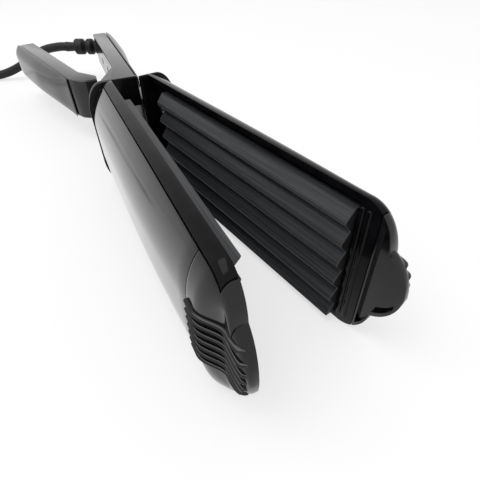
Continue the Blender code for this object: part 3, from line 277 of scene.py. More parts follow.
looks = {
    "gloss": material("gloss_black_plastic", (0.003, 0.003, 0.004), (0.007, 0.006, 0.007), 0.04, 0.04,
                      scale=90, specular=0.30, coat=0.5),
    "deep": material("deep_black_plastic", (0.002, 0.002, 0.0025), (0.005, 0.005, 0.006), 0.08, 0.08,
                     scale=110, specular=0.10),
    "tip": material("tip_black_plastic", (0.003, 0.003, 0.004), (0.007, 0.007, 0.008), 0.07, 0.08,
                    scale=100, specular=0.28, coat=0.15),
    "grip": material("grip_black_plastic", (0.008, 0.007, 0.008), (0.014, 0.012, 0.014), 0.12, 0.08,
                     scale=120, specular=0.42),
    # painted shade: a darker material for the plates' end faces, in place of the shadow they lie in
    "plate_end": material("plate_end", (0.006, 0.006, 0.007), (0.012, 0.012, 0.013), 0.4, 0.1, scale=300),
    "rubber": material("cord_rubber", (0.006, 0.006, 0.007), (0.011, 0.011, 0.012), 0.45, 0.12,
                       scale=500, bump=0.05, specular=0.28),
    "steel": material("steel", (0.50, 0.50, 0.52), (0.62, 0.62, 0.63), 0.25, 0.15, metallic=1, scale=400),
    "brass": material("brass", (0.68, 0.47, 0.20), (0.80, 0.58, 0.28), 0.22, 0.12, metallic=1, scale=400),
    "mica": material("mica", (0.52, 0.47, 0.38), (0.66, 0.62, 0.52), 0.5, 0.15, scale=300),
    "nylon": material("nylon", (0.70, 0.69, 0.64), (0.82, 0.81, 0.77), 0.4, 0.15, scale=250),
    "amber": material("amber", (0.75, 0.22, 0.03), (0.90, 0.34, 0.06), 0.08, 0.06, scale=200, coat=0.5),
}
for arm in arm_angle:
    looks[f"{arm}_plate"] = material(f"{arm}_plate_coating", (0.020, 0.021, 0.023),
                                     (0.046, 0.048, 0.052), 0.32, 0.14, metallic=0.1, scale=2600,
                                     stretch=(1, 0.012, 1), bump=0.16, specular=0.28, detail=6.0,
                                     turn=arm_angle[arm])


# Building blocks

def arm_matrix(arm):
    """Place of an arm's own frame: origin on the hinge line, turned with the arm."""
    turn = Matrix.Rotation(arm_angle[arm], 4, "Z")
    return Matrix.Translation(pivot) @ turn @ Matrix.Translation((-hinge_offset, 0, 0))


def join_rings(rings):
    """Mesh with faces between each ring of points and the next, open at both ends, and its vertex loops."""
    mesh = bmesh.new()
    loops = [[mesh.verts.new(point) for point in ring] for ring in rings]
    count = len(loops[0])
    for near, far in zip(loops, loops[1:]):
        for index in range(count):
            after = (index + 1) % count
            mesh.faces.new((near[index], near[after], far[after], far[index]))
    return mesh, loops


def loft(rings):
    mesh, loops = join_rings(rings)
    mesh.faces.new(loops[0])
    mesh.faces.new(loops[-1])
    return mesh


def prism(points, low, high):
    return loft([[Vector((x, y, z)) for x, y in points] for z in (low, high)])


def block(x_range, y_range, z_range):
    (x0, x1), (y0, y1) = (sorted(pair) for pair in (x_range, y_range))
    return prism(((x0, y0), (x1, y0), (x1, y1), (x0, y1)), *sorted(z_range))


def circle(centre, side, other, radius, sides=32):
    angles = [math.tau * step / sides for step in range(sides)]
    return [centre + side * (radius * math.cos(angle)) + other * (radius * math.sin(angle))
            for angle in angles]


def heading_at(angle):
    """Direction of travel at an angle on a circle that is run anticlockwise."""
    return Vector((-math.sin(angle), math.cos(angle), 0))


def rod(start, direction, length, radius):
    axis = Vector(direction).normalized()
    side = axis.orthogonal().normalized()
    return loft([circle(Vector(start) + axis * along, side, axis.cross(side), radius)
                 for along in (0, length)])


def post(depth, levels, radius):
    """Upright rod on the hinge's line across the arm."""
    return rod((depth, 0, levels[0]), z_axis, levels[1] - levels[0], radius)


def mirrored(mesh, side):
    if side < 0:
        bmesh.ops.scale(mesh, verts=mesh.verts, vec=(-1, 1, 1))
    return mesh


def make_object(mesh, name, look, matrix=None, weld=True):
    """Object from a mesh: one material, faces turned outward, moved into place by the matrix."""
    if weld:
        bmesh.ops.remove_doubles(mesh, verts=mesh.verts, dist=1e-6)
    bmesh.ops.recalc_face_normals(mesh, faces=mesh.faces)
    data = bpy.data.meshes.new(name)
    mesh.to_mesh(data)
    mesh.free()
    if matrix is not None:
        data.transform(matrix)
    made = bpy.data.objects.new(name, data)
    bpy.context.scene.collection.objects.link(made)
    if look is not None:
        data.materials.append(looks[look])
    return made


def carve(made, mesh, matrix, operation="DIFFERENCE"):
    """Cut a mesh out of an object, or add it, when the object is settled."""
    tool = make_object(mesh, f"{made.name}_tool_{len(made.modifiers)}", None, matrix, False)
    modifier = made.modifiers.new("carve", "BOOLEAN")
    modifier.operation = operation
    modifier.solver = "EXACT"
    modifier.object = tool


def round_edges(made, width, segments=3, angle=30):
    modifier = made.modifiers.new("round", "BEVEL")
    modifier.width = width
    modifier.segments = segments
    modifier.limit_method = "ANGLE"
    modifier.angle_limit = math.radians(angle)


def settle(made, sharp=35):
    """Bake the modifiers into the mesh, drop the tools and smooth the surface between sharp edges."""
    tools = [modifier.object for modifier in made.modifiers if modifier.type == "BOOLEAN"]
    bpy.context.view_layer.update()
    graph = bpy.context.evaluated_depsgraph_get()
    data = bpy.data.meshes.new_from_object(made.evaluated_get(graph))
    made.modifiers.clear()
    made.data = data
    for tool in tools:
        bpy.data.objects.remove(tool, do_unlink=True)
    data.shade_smooth()
    data.set_sharp_from_angle(angle=math.radians(sharp))
    return made


def attach(made, body, *nodes):
    """Show an object in place of CAD nodes, riding on an arm's body."""
    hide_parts(*nodes)
    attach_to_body(made, bodies[body])


# Jaws

def smooth_step(value):
    value = min(1, max(0, value))
    return value * value * (3 - 2 * value)


def rounded_section(inner, reach, outer, half, corner, place, edges, steps=14):
    """Cross-section from one depth to another: flat sides, then curves towards the outer face."""
    corner = min(corner, half * corner_limit)
    sides = []
    for side, edge in zip((-1, 1), edges):
        first, last = (math.asin(min(1, max(0, depth - edge) / (outer - edge))) for depth in (inner, reach))
        count = steps + 1
        if reach <= edge:
            row = [(inner + (reach - inner) * step / count, half) for step in range(count + 1)]
        else:
            row = [(inner, half)] if inner < edge else []
            count -= len(row)
            for step in range(count + 1):
                angle = first + (last - first) * step / count
                row.append((edge + (outer - edge) * math.sin(angle), half - corner * (1 - math.cos(angle))))
        sides.append([Vector((depth, place, middle + side * level)) for depth, level in row])
    lower, upper = sides
    return lower + upper[::-1]


def shell_step(place):
    """Share of the step from the jaw's section, 0, to the lobe's, 1."""
    return smooth_step((place - cover_end - step_start) / step_length)


def shell_outer(place):
    """Outer face: even at the rear, shallower towards the tip, then a step down to the thin lobe."""
    share = min(1, max(0, place - taper_place) / (cover_end - taper_place))
    depth = jaw_depth - jaw_taper * share * share
    depth += (lobe_depth - depth) * shell_step(place)
    rounding = max(0, (place - nose_end + nose_rounding) / nose_rounding)
    return depth - (lobe_depth - nose_depth) * (1 - math.sqrt(max(0, 1 - rounding * rounding)))


def shell_inner(place):
    """Inner edge: level with the rim, then lifting away from the closing plane towards the nose."""
    share = max(0, place - frame_end) / (nose_end - frame_end)
    return rim_depth + nose_lift * share * share


def shell_half(place):
    """Half the height: even, then rounded shoulders that flow into the lobe."""
    past = (place - shoulder_start) / shoulder_length
    if past <= 0:
        return middle
    if past < 1:
        shoulder = middle - shoulder_drop * (1 - math.sqrt(1 - past * past))
    else:
        shoulder = middle - shoulder_drop * (1 + (past - 1) * shoulder_slope)
    along = (place - lobe_centre) / lobe_length
    lobe = lobe_half * math.sqrt(max(0, 1 - along * along))
    flowing = (shoulder + lobe) / 2 + math.hypot((shoulder - lobe) / 2, shoulder_blend)
    return min(middle, max(flowing, least_half))


def shell_corner(place):
    """How far the outer face's rounding reaches in from the top and bottom sides."""
    return jaw_corner + (lobe_corner - jaw_corner) * shell_step(place)


def shell_edges(place):
    """Depths at which the rounding starts, at the lower and the upper side."""
    return tuple(edge + (lobe_edge - edge) * shell_step(place) for edge in (cover_inner, edge_start))


def shell_section(place, inner, reach, wall=0):
    outer = shell_outer(place) - wall
    return rounded_section(inner, min(reach, outer), outer, shell_half(place) - wall,
                           shell_corner(place) - wall / 2, -place, shell_edges(place))


def evenly(start, stop, count, first=1):
    """Values from start to stop in count even steps; start itself is left out unless first is 0."""
    return [start + (stop - start) * step / count for step in range(first, count + 1)]


def shell_places(start, stop, fine=3):
    """Places of the cross-sections, closer together where the outline turns."""
    places = evenly(jaw_start, taper_place, 4 * fine)
    places += evenly(taper_place, cover_end, 4 * fine)
    places += evenly(cover_end, shoulder_start, 3 * fine)
    places += [shoulder_start + shoulder_length * math.sin(math.pi / 2 * share)
               for share in evenly(0, 1, 6 * fine)]
    first = math.asin((places[-1] - lobe_centre) / lobe_length) + 0.03  # just past the shoulder
    places += [lobe_centre + lobe_length * math.sin(angle)
               for angle in evenly(first, math.pi / 2, 7 * fine, 0)]
    return [start] + [place for place in places if start + gap < place < stop - gap] + [stop]


def shell_mesh(places, inner, wall):
    """Wall of even thickness between the outer face and the hollow, open at both ends."""
    mesh, loops = join_rings(
        [shell_section(place, inner, full_reach) + shell_section(place, inner, full_reach, wall)[::-1]
         for place in places])
    for loop in (loops[0], loops[-1]):
        for index in range(len(loop) // 2 - 1):
            mesh.faces.new((loop[index], loop[index + 1], loop[-2 - index], loop[-1 - index]))
    return mesh


def make_jaw_cover(arm):
    shell = shell_mesh(shell_places(cover_start, cover_end - gap), cover_inner, shell_wall)
    cover = make_object(mirrored(shell, jaw_side[arm]), f"{arm}_arm_cover_shell", "gloss", arm_matrix(arm))
    round_edges(cover, 0.00025, 2, 50)
    settle(cover, 40)
    attach(cover, arm, f"{arm}_arm_jaw_cover")


def collar_section(inner, place):
    return rounded_section(inner, collar_depth, collar_depth, middle, collar_corner, place,
                           (collar_edge, collar_edge))


def make_jaw_frame(arm):
    """Rim round the plate, the collar at the rear and the two bars beyond the plate's end."""
    side, matrix = jaw_side[arm], arm_matrix(arm)
    rings = [shell_section(place, rim_depth, frame_depth)
             for place in shell_places(jaw_start + collar_thickness / 2, frame_end)]
    rim = make_object(mirrored(loft(rings), side), f"{arm}_arm_rim", "deep", matrix)
    tray = block((rim_depth - 4 * overshoot, tray_depth), (-tray_start, -bar_start), tray_level)
    carve(rim, mirrored(tray, side), matrix)
    round_edges(rim, 0.0004, 3, 50)
    window = block((rim_depth, frame_depth + overshoot), [-place for place in window_place], window_level)
    carve(rim, mirrored(window, side), matrix)
    settle(rim)
    attach(rim, arm, f"{arm}_arm_jaw_frame")
    inner = rim_depth if arm == "cord" else -heel_reach
    rings = [collar_section(inner, place) for place in (-jaw_start, -jaw_start - collar_thickness)]
    collar = make_object(mirrored(loft(rings), side), f"{arm}_arm_collar", "deep", matrix)
    round_edges(collar, 0.0005, 3, 40)
    settle(collar)
    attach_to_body(collar, bodies[arm])
    for index, near in enumerate((bar_start, bar_end - bar_thickness)):
        slat = block(bar_depth, (-near, -near - bar_thickness), bar_level)
        bar = make_object(mirrored(slat, side), f"{arm}_arm_bar_{index + 1}", "deep", matrix)
        round_edges(bar, 0.0005, 3)
        settle(bar)
        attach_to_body(bar, bodies[arm])


def shell_surface(place, offset):
    """Depth of the outer face at a place and an offset from the middle level, or None beyond its side."""
    half = shell_half(place)
    corner = min(shell_corner(place), half * corner_limit)
    inside = half - abs(offset)
    outer = shell_outer(place)
    if inside >= corner:
        return outer
    if inside <= 0:
        return None
    edge = shell_edges(place)[offset > 0]
    fall = 1 - inside / corner
    return edge + (outer - edge) * math.sqrt(1 - fall * fall)


def rib_rings(offset):
    """Cross-sections of one rounded fin, from the tip's joint line to its nose."""
    line = []
    for place in evenly(cover_end + rib_inset[0], nose_end - rib_inset[1], 40, 0):
        depth = shell_surface(place, offset)
        if depth is not None:
            line.append(Vector((depth, -place)))
    rings = []
    for index, point in enumerate(line):
        along = (line[min(index + 1, len(line) - 1)] - line[max(index - 1, 0)]).normalized()
        normal = Vector((-along.y, along.x))
        if normal.x < 0:
            normal = -normal
        ease = min(1, (len(line) - index - 0.6) / 2)
        ring = []
        for across, out in rib_profile:
            lifted = point + normal * (rib_proud * (out if out < 0 else out * ease))
            ring.append(Vector((lifted.x, lifted.y, middle + offset + across * rib_half)))
        rings.append(ring)
    return rings


def make_tip(arm):
    """Cool tip: hollow behind, seated on the frame's end, with a sunk panel towards the other jaw."""
    side, matrix = jaw_side[arm], arm_matrix(arm)
    rings = [shell_section(place, shell_inner(place), full_reach)
             for place in shell_places(cover_end, nose_end)]
    tip = make_object(mirrored(loft(rings), side), f"{arm}_arm_cool_tip", "tip", matrix)
    seat = block((rim_depth - overshoot, cover_inner), (overshoot - cover_end, -frame_end - gap),
                 (-overshoot, 2 * middle + overshoot))
    carve(tip, mirrored(seat, side), matrix)
    round_edges(tip, 0.0003, 2, 50)
    hollow = [shell_section(place, cover_inner - overshoot, full_reach, shell_wall)
              for place in shell_places(cover_end - overshoot, frame_end - shell_wall)]
    carve(tip, mirrored(loft(hollow), side), matrix)
    panel = []
    below = rim_depth - overshoot
    for place in shell_places(panel_start, nose_end - shell_wall):
        level = max(shell_half(place) - shell_wall, least_half)
        floor = shell_inner(place) + panel_floor
        panel.append([Vector((depth, -place, middle + sign * level))
                      for depth, sign in ((below, -1), (floor, -1), (floor, 1), (below, 1))])
    carve(tip, mirrored(loft(panel), side), matrix)
    settle(tip, 45)
    attach(tip, arm, f"{arm}_arm_tip")
    for index in range(rib_count):
        rings = rib_rings((index - rib_count // 2) * rib_pitch)
        rib = make_object(mirrored(loft(rings), side), f"{arm}_arm_rib_{index + 1}", "tip", matrix)
        settle(rib, 50)
        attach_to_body(rib, bodies[arm])


def ridge_profile(crest_first):
    """Depth and level along the ridged face, its corners slightly rounded by averaging."""
    total = ridge_pitch * ridge_count

    def wave(z):
        share = (z / ridge_pitch) % 1
        ramp = 2 * share if share < 0.5 else 2 - 2 * share
        return ridge_crest + ridge_height * (ramp if crest_first else 1 - ramp)

    profile = []
    for z in evenly(0, total, round(ridge_samples * ridge_count), 0):
        mean = sum(wave(min(total, max(0, z + ridge_blur * (k - 3) / 3))) for k in range(7)) / 7
        profile.append((mean, plate_low + z))
    return profile + [(plate_back, plate_low + total), (plate_back, plate_low)]


def make_plate(arm):
    """Ridged plate; its ends get a darker material, painted shade that stands in for the shadow on the end
    faces.
    """
    profile = ridge_profile(crest_first=arm == "free")
    rings = [[Vector((depth, -place, z)) for depth, z in profile]
             for place in (plate_start, plate_start + plate_chamfer, plate_stop - plate_chamfer, plate_stop)]
    for ring in (rings[0], rings[-1]):
        for point in ring[:-2]:
            point.x += plate_chamfer_depth
    matrix = arm_matrix(arm)
    plate = make_object(mirrored(loft(rings), jaw_side[arm]), f"{arm}_arm_plate", f"{arm}_plate", matrix)
    # the end faces take the painted shade material, darker in place of their shadow
    plate.data.materials.append(looks["plate_end"])
    along = matrix.to_3x3() @ Vector((0, 1, 0))
    for face in plate.data.polygons:
        if abs(face.normal.dot(along)) > 0.6:
            face.material_index = 1
    settle(plate, 25)
    attach(plate, arm, f"{arm}_arm_crimp_plate")


# Handles: outlines and outer lines in their arm's frame, as pairs of depth and place with the handle on
# the +X side, and of place and depth for the outer line of the grip

grip_line = {
    "cord": ((-0.008, 0.0162), (-0.004, 0.0170), (0.007, 0.0182), (0.018, 0.0188), (0.032, 0.0203),
             (0.046, 0.0220), (0.060, 0.0234), (0.080, 0.0242), (0.096, 0.0245), (0.101, 0.0242),
             (0.104, 0.0228)),
    "free": ((0.0114, 0.0169), (0.0181, 0.0178), (0.032, 0.0202), (0.046, 0.0220), (0.060, 0.0234),
             (0.080, 0.0242), (0.096, 0.0245), (0.101, 0.0242), (0.104, 0.0228)),
}
handle_outline = {
    "cord": ((0.0074, 0.0183), (-0.0065, -0.0106), (-0.0083, -0.0240), (-0.0115, -0.0487), (-0.0033, -0.0487),
             (-0.0022, -0.0240), (0.0010, -0.0132), (0.0147, -0.0106), (0.0154, -0.0080), (0.0164, 0.0183),
             (0.0196, 0.1040), (0.0106, 0.1040)),
    "free": ((0.0074, 0.0200), (-0.0040, 0.0160), (-0.0144, 0.0084), (-0.0144, -0.0060), (-0.0095, -0.0240),
             (-0.0115, -0.0487), (-0.0033, -0.0487), (-0.0022, -0.0240), (0.0015, -0.0085), (0.0040, 0.0011),
             (0.0104, 0.0019), (0.0128, 0.0039), (0.0149, 0.0065), (0.01614, 0.0114), (0.0164, 0.0183),
             (0.0196, 0.1040), (0.0106, 0.1040)),
}
neck_outline = {
    "cord": ((0.0075, 0.022), (0.0074, 0.0183), (-0.0065, -0.0106), (-0.0083, -0.0240), (-0.0083, -0.0280),
             (-0.0022, -0.0280), (-0.0022, -0.0240), (0.0010, -0.0132), (0.0147, -0.0106), (0.0154, -0.0080),
             (0.0165, 0.0220)),
    "free": ((0.0074, 0.0200), (-0.0040, 0.0160), (-0.0144, 0.0084), (-0.0144, -0.0060), (-0.0095, -0.0240),
             (-0.0095, -0.0280), (-0.0022, -0.0280), (-0.0022, -0.0240), (0.0015, -0.0085), (0.0040, 0.0011),
             (0.0020, 0.0080)),
}


def grip_inner(place):
    return 0.0074 + 0.0032 * (place - handle_foot) / (handle_end - handle_foot)


def grip_parting(place):
    return grip_inner(place) + 0.009


def grip_outer(arm, place):
    """Outer line of the grip as a smooth curve through its table."""
    xs, ys = zip(*grip_line[arm])
    last = len(xs) - 1
    index = min(max(int(np.searchsorted(xs, place)) - 1, 0), last - 1)
    slopes = []
    for k in (index, index + 1):
        before, after = max(k - 1, 0), min(k + 1, last)
        slopes.append((ys[after] - ys[before]) / (xs[after] - xs[before]))
    width = xs[index + 1] - xs[index]
    t = (place - xs[index]) / width
    return ((2 * t ** 3 - 3 * t * t + 1) * ys[index] + (t ** 3 - 2 * t * t + t) * width * slopes[0]
            + (3 * t * t - 2 * t ** 3) * ys[index + 1] + (t ** 3 - t * t) * width * slopes[1])


def inset(points, distance):
    """Outline moved inward by a distance."""
    vectors = [Vector(point) for point in points]
    area = sum(a.x * b.y - b.x * a.y for a, b in zip(vectors, vectors[1:] + vectors[:1]))
    turn = 1 if area > 0 else -1
    moved = []
    for index, corner in enumerate(vectors):
        before = (corner - vectors[index - 1]).normalized()
        after = (vectors[(index + 1) % len(vectors)] - corner).normalized()
        normal_before = Vector((-before.y, before.x)) * turn
        normal_after = Vector((-after.y, after.x)) * turn
        half = (normal_before + normal_after).normalized()
        moved.append(corner + half * (distance / half.dot(normal_after)))
    return [tuple(point) for point in moved]


def make_handle(arm):
    """Inner half of a handle with its neck, which crosses the other arm's neck in its own layer."""
    side, matrix = -jaw_side[arm], arm_matrix(arm)
    outline = prism(handle_outline[arm], handle_low, handle_high)
    handle = make_object(mirrored(outline, side), f"{arm}_arm_handle_half", "grip", matrix)

    def cut(mesh, operation="DIFFERENCE"):
        carve(handle, mirrored(mesh, side), matrix, operation)

    if arm == "cord":
        cut(block((-0.1, 0.1), (-0.024, handle_foot), (handle_low - overshoot, cord_neck_low)))
    else:
        cut(prism(((-0.1, -0.024), (0.004, -0.024), (0.004, 0.0011), (0.002, 0.008), (0.0074, 0.02),
                   (-0.1, 0.02)), free_neck_high, handle_high + overshoot))
    round_edges(handle, 0.0009, 4, 28)
    cut(prism(((grip_inner(hollow_start) + grip_wall, hollow_start),
               (grip_inner(hollow_end) + grip_wall, hollow_end),
               (hollow_depth, hollow_end), (hollow_depth, hollow_start)), hollow_low, hollow_high))
    if arm == "cord":
        cut(prism(inset(neck_outline[arm], neck_wall), cord_neck_low - overshoot, hollow_high))
        cut(post(hinge_offset, cord_boss, boss_radius), "UNION")
        cut(post(hinge_offset, cord_bore, bore_radius))
        cut(rod((relief_exit, handle_end + overshoot, middle), (0, -1, 0), 0.006, 0.0033))
    else:
        cut(prism(inset(neck_outline[arm], neck_wall), hollow_low, free_neck_high + overshoot))
        cut(post(-hinge_offset, free_boss, boss_radius), "UNION")
        cut(post(-hinge_offset, free_bore, bore_radius))
        cut(post(-hinge_offset, end_recess, end_recess_radius))
    for place in grip_screws:
        cut(rod((grip_inner(place) - overshoot, place, middle), (1, 0, 0), 0.0045, grip_screw_bore))
    settle(handle, 35)
    attach(handle, arm, f"{arm}_arm_handle")


def grip_section(inner, outer, place, wall=0.0, corner_wall=0.0):
    return rounded_section(inner, outer, outer, grip_half - wall, grip_corner - corner_wall, place,
                           (inner + gap, inner + gap))


def make_flange(arm):
    """Flange behind the jaw's collar with its gusset, on the handle's neck."""
    side, matrix = -jaw_side[arm], arm_matrix(arm)
    upward = 1 if arm == "cord" else -1
    far, top = collar_depth - gap, middle - gap
    corner = [(collar_edge + (far - collar_edge) * math.sin(angle),
               top - collar_corner * (1 - math.cos(angle))) for angle in evenly(0, math.pi / 2, 10, 0)]
    outline = [(-flange_reach[arm], flange_low), (-flange_reach[arm], top), *corner,
               (far, flange_foot[1]), flange_foot, (flange_foot[0], flange_low)]
    rings = [[Vector((-depth, place, middle + upward * level)) for depth, level in outline]
             for place in (-neck_end, -neck_end + flange_thickness)]
    flange = make_object(mirrored(loft(rings), side), f"{arm}_arm_neck_flange", "deep", matrix)
    round_edges(flange, 0.0004, 3, 40)
    settle(flange)
    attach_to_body(flange, bodies[arm])
    wedge = ((-0.0476, 0.009), (-0.0476, top - 0.0015), (-0.0316, 0.009))
    rings = [[Vector((-depth, place, middle + upward * level)) for place, level in wedge]
             for depth in gusset_depth]
    gusset = make_object(mirrored(loft(rings), side), f"{arm}_arm_neck_gusset", "grip", matrix)
    round_edges(gusset, 0.0006, 3, 40)
    settle(gusset)
    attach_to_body(gusset, bodies[arm])


def make_grip_cover(arm):
    """Rounded outer half of a handle; the cord arm's has the rocker's window and the lamp's hole."""
    side, matrix = -jaw_side[arm], arm_matrix(arm)
    places = evenly(grip_line[arm][0][0], grip_straight_end, 39, 0)
    places += [0.0985, 0.1005, 0.1022, 0.1032, 0.1038, handle_end]
    rings = [grip_section(grip_parting(place) + gap, grip_outer(arm, place), place) for place in places]
    cover = make_object(mirrored(loft(rings), side), f"{arm}_arm_grip_cover", "grip", matrix)
    round_edges(cover, 0.0004, 3, 40)
    hollow = [grip_section(grip_parting(place) - 0.0017, grip_outer(arm, place) - grip_wall, place,
                           grip_wall, grip_corner_wall) for place in evenly(0.024, 0.102, 11, 0)]
    carve(cover, mirrored(loft(hollow), side), matrix)
    if arm == "cord":
        outer = grip_outer(arm, rocker_place)
        carve(cover, block((outer - rocker_window_depth, outer + overshoot), rocker_window,
                           (middle - rocker_window_half, middle + rocker_window_half)), matrix)
        start = (grip_outer(arm, lamp_place) - lamp_hole_depth, lamp_place, middle)
        carve(cover, rod(start, (1, 0, 0), lamp_hole_depth + overshoot, lamp_hole_radius), matrix)
    settle(cover, 40)
    attach(cover, arm, f"{arm}_arm_handle_cover")


for arm in ("cord", "free"):
    make_jaw_frame(arm)
    make_jaw_cover(arm)
    make_tip(arm)
    make_plate(arm)
    make_handle(arm)
    make_flange(arm)
    make_grip_cover(arm)


# Strain relief, cord, coil and plug

def relief_point(along):
    """Point and direction of the strain relief's centre line: straight, a bend, then straight again."""
    start = pivot + Vector((relief_exit - hinge_offset, handle_end + gap, middle))
    if along <= relief_straight:
        return start + Vector((0, along, 0)), Vector((0, 1, 0))
    centre = start + Vector((-relief_radius, relief_straight, 0))
    past = along - relief_straight
    angle = min(past / relief_radius, relief_turn)
    point = centre + relief_radius * Vector((math.cos(angle), math.sin(angle), 0))
    direction = heading_at(angle)
    return point + direction * max(0, past - relief_radius * relief_turn), direction


def relief_profile():
    """Place and radius along the relief: rings with rounded edges and necks between them."""
    profile = [(-0.0029, relief_neck), (0, relief_neck)]
    quarter = evenly(0, math.pi / 2, 6, 0)
    for start, stop in ((0.0, 0.0079), (0.0103, 0.0146), (0.0174, 0.0237)):
        profile += [(start + ring_rounding * (1 - math.cos(angle)),
                     ring_radius + ring_rounding * math.sin(angle)) for angle in quarter]
        flat = stop - start - 2 * ring_rounding
        count = max(2, round(flat / 0.0008))
        profile += [(start + ring_rounding + flat * step / count, ring_radius + ring_rounding)
                    for step in range(1, count)]
        profile += [(stop - ring_rounding * (1 - math.sin(angle)),
                     ring_radius + ring_rounding * math.cos(angle)) for angle in quarter]
        profile += [(stop + 0.0002, relief_neck + 0.0002), (stop + 0.0008, relief_neck)]
    return profile + [(relief_straight + relief_radius * relief_turn + relief_rest, 0.00336)]


def make_relief():
    rings = []
    for along, radius in relief_profile():
        centre, direction = relief_point(along)
        rings.append(circle(centre, Vector((direction.y, -direction.x, 0)), z_axis, radius, 36))
    relief = make_object(loft(rings), "relief_rings", "rubber", weld=False)
    settle(relief, 50)
    attach(relief, "cord", "strain_relief")


def smooth_route(points, steps):
    """Smooth curve through all the points."""
    route = [Vector(point) for point in points]
    ends = [2 * route[0] - route[1], *route, 2 * route[-1] - route[-2]]
    curve = []
    for index in range(1, len(ends) - 2):
        before, here, there, after = ends[index - 1:index + 3]
        for step in range(steps):
            t = step / steps
            curve.append((2 * here + (there - before) * t
                          + (2 * before - 5 * here + 4 * there - after) * t * t
                          + (3 * here - before - 3 * there + after) * t * t * t) / 2)
    return curve + [route[-1]]


def add_tube(name, points, radius, look, fineness=5):
    data = bpy.data.curves.new(name, "CURVE")
    data.dimensions = "3D"
    data.bevel_depth = radius
    data.bevel_resolution = fineness
    data.use_fill_caps = True
    spline = data.splines.new("POLY")
    spline.points.add(len(points) - 1)
    for item, point in zip(spline.points, points):
        item.co = (*point, 1)
    spline.use_smooth = True
    data.materials.append(looks[look])
    tube = bpy.data.objects.new(name, data)
    bpy.context.scene.collection.objects.link(tube)
    return tube


cord_route = (
    (-0.00369, 0.23265, 0.0231), (-0.0089, 0.23565, 0.0230), (-0.0195, 0.2414, 0.0209),
    (-0.0303, 0.2466, 0.0156), (-0.04125, 0.2513, 0.0094), (-0.05255, 0.2555, 0.0050),
    (-0.06405, 0.2591, 0.0033), (-0.08155, 0.2638, 0.00305), (-0.0944, 0.26735, 0.00305),
    (-0.10045, 0.2690, 0.00305),
)


def coil_points(per_turn):
    """Two layers: inwards on the table, then outwards on top."""
    total = 2 * layer_turns
    points = []
    for turns in evenly(0, total, round(total * per_turn), 0):
        radius = coil_radius - coil_pitch * (layer_turns - abs(turns - layer_turns))
        angle = coil_start_angle + math.tau * turns
        climb = smooth_step((turns - layer_turns) / climb_turns + 0.5)
        points.append(Vector((coil_centre[0] + radius * math.cos(angle),
                              coil_centre[1] + radius * math.sin(angle), coil_level + coil_pitch * climb)))
    return points


def squared_ring(centre, side, half_width, half_height, squareness, sides=40):
    ring = []
    for step in range(sides):
        angle = math.tau * step / sides
        across, rise = math.cos(angle), math.sin(angle)
        reach = (abs(across) ** squareness + abs(rise) ** squareness) ** (-1 / squareness)
        ring.append(centre + side * (half_width * across * reach) + z_axis * (half_height * rise * reach))
    return ring


def make_plug(start, heading):
    """Plug body, wider from its neck on by a share that grows along it, and its two pins."""
    side = Vector((heading.y, -heading.x, 0))
    stations = ((0, 0), (0.002, 0.05), (0.004, 0.3), (0.007, 0.66), (0.0095, 0.88), (0.012, 1), (0.0348, 1),
                (0.0356, 0.975), (plug_length, 0.92))
    rings = []
    for along, share in stations:
        width, height = (plug_neck + (half - plug_neck) * share for half in plug_half)
        rings.append(squared_ring(start + heading * along, side, width, height, 2 + 0.6 * share))
    pieces = [settle(make_object(loft(rings), "plug_shell", "rubber"), 50)]
    attach(pieces[0], "cord", "plug_body")
    for index, offset in enumerate((-prong_offset, prong_offset)):
        foot = start + heading * (plug_length + gap) + side * offset
        rings = [circle(foot + heading * along, side, z_axis, radius)
                 for along, radius in ((0, 0.002), (0.0178, 0.002), (0.0186, 0.0017), (0.0190, 0.0010))]
        pieces.append(settle(make_object(loft(rings), f"plug_prong_{index + 1}", "brass"), 50))
        attach(pieces[-1], "cord", f"plug_pin_{index + 1}")
    return pieces


def make_cord():
    """Cord from the relief through the coil to the plug.

    All of it is kept out of glossy reflections, because the photo shows no cord or plug in them."""
    turns = coil_points(48)
    start_heading = heading_at(coil_start_angle)
    heading = heading_at(coil_start_angle + math.tau * 2 * layer_turns)
    stop = turns[-1] + heading * 0.030
    points = smooth_route(cord_route, 4) + [turns[0] - start_heading * 0.003, *turns, stop]
    tube = add_tube("cord_line", points, cord_radius, "rubber")
    attach(tube, "cord", "cord", "cord_coil")
    plug = make_plug(stop + heading * gap, heading)
    for piece in (tube, *plug):
        piece.visible_glossy = False


make_relief()
make_cord()


# Return spring and the leads to the heaters

def spring_points(per_turn):
    """Turns round the pin with a straight leg at the start and one upward at the end."""
    turns = []
    for turn in evenly(0, spring_turns, round(spring_turns * per_turn), 0):
        angle = spring_start_angle + math.tau * turn
        turns.append(Vector((hinge_offset + spring_radius * math.cos(angle), spring_radius * math.sin(angle),
                             spring_low + spring_pitch * turn)))
    return [turns[0] - heading_at(spring_start_angle) * 0.005, *turns, turns[-1] + z_axis * 0.0068]


lead_routes = {
    "cord": ((0.0150, 0.0781, 0.0255), (0.0150, 0.0764, 0.0257), (0.0146, 0.0725, 0.0286),
             (0.0142, 0.0660, 0.0293), (0.0130, 0.0450, 0.0293), (0.0123, 0.0280, 0.0292),
             (0.0122, 0.0160, 0.0285), (0.0119, 0.0040, 0.0282), (0.0096, -0.0060, 0.0282),
             (0.0026, -0.0078, 0.0282), (-0.0026, -0.0120, 0.0282), (-0.0044, -0.0190, 0.0280),
             (-0.0054, -0.0260, 0.0273), (-0.0066, -0.0360, 0.0250)),
    "free": ((0.0094, 0.0084, 0.0264), (0.0092, 0.0083, 0.0232), (0.0078, 0.0080, 0.0213),
             (0.0050, 0.0075, 0.0211), (0.0012, 0.0057, 0.0211), (-0.0008, 0.0015, 0.0211),
             (0.0003, -0.0040, 0.0211), (0.0020, -0.0095, 0.0211), (0.0034, -0.0150, 0.0211),
             (0.0052, -0.0240, 0.0213), (0.0060, -0.0340, 0.0222)),
}
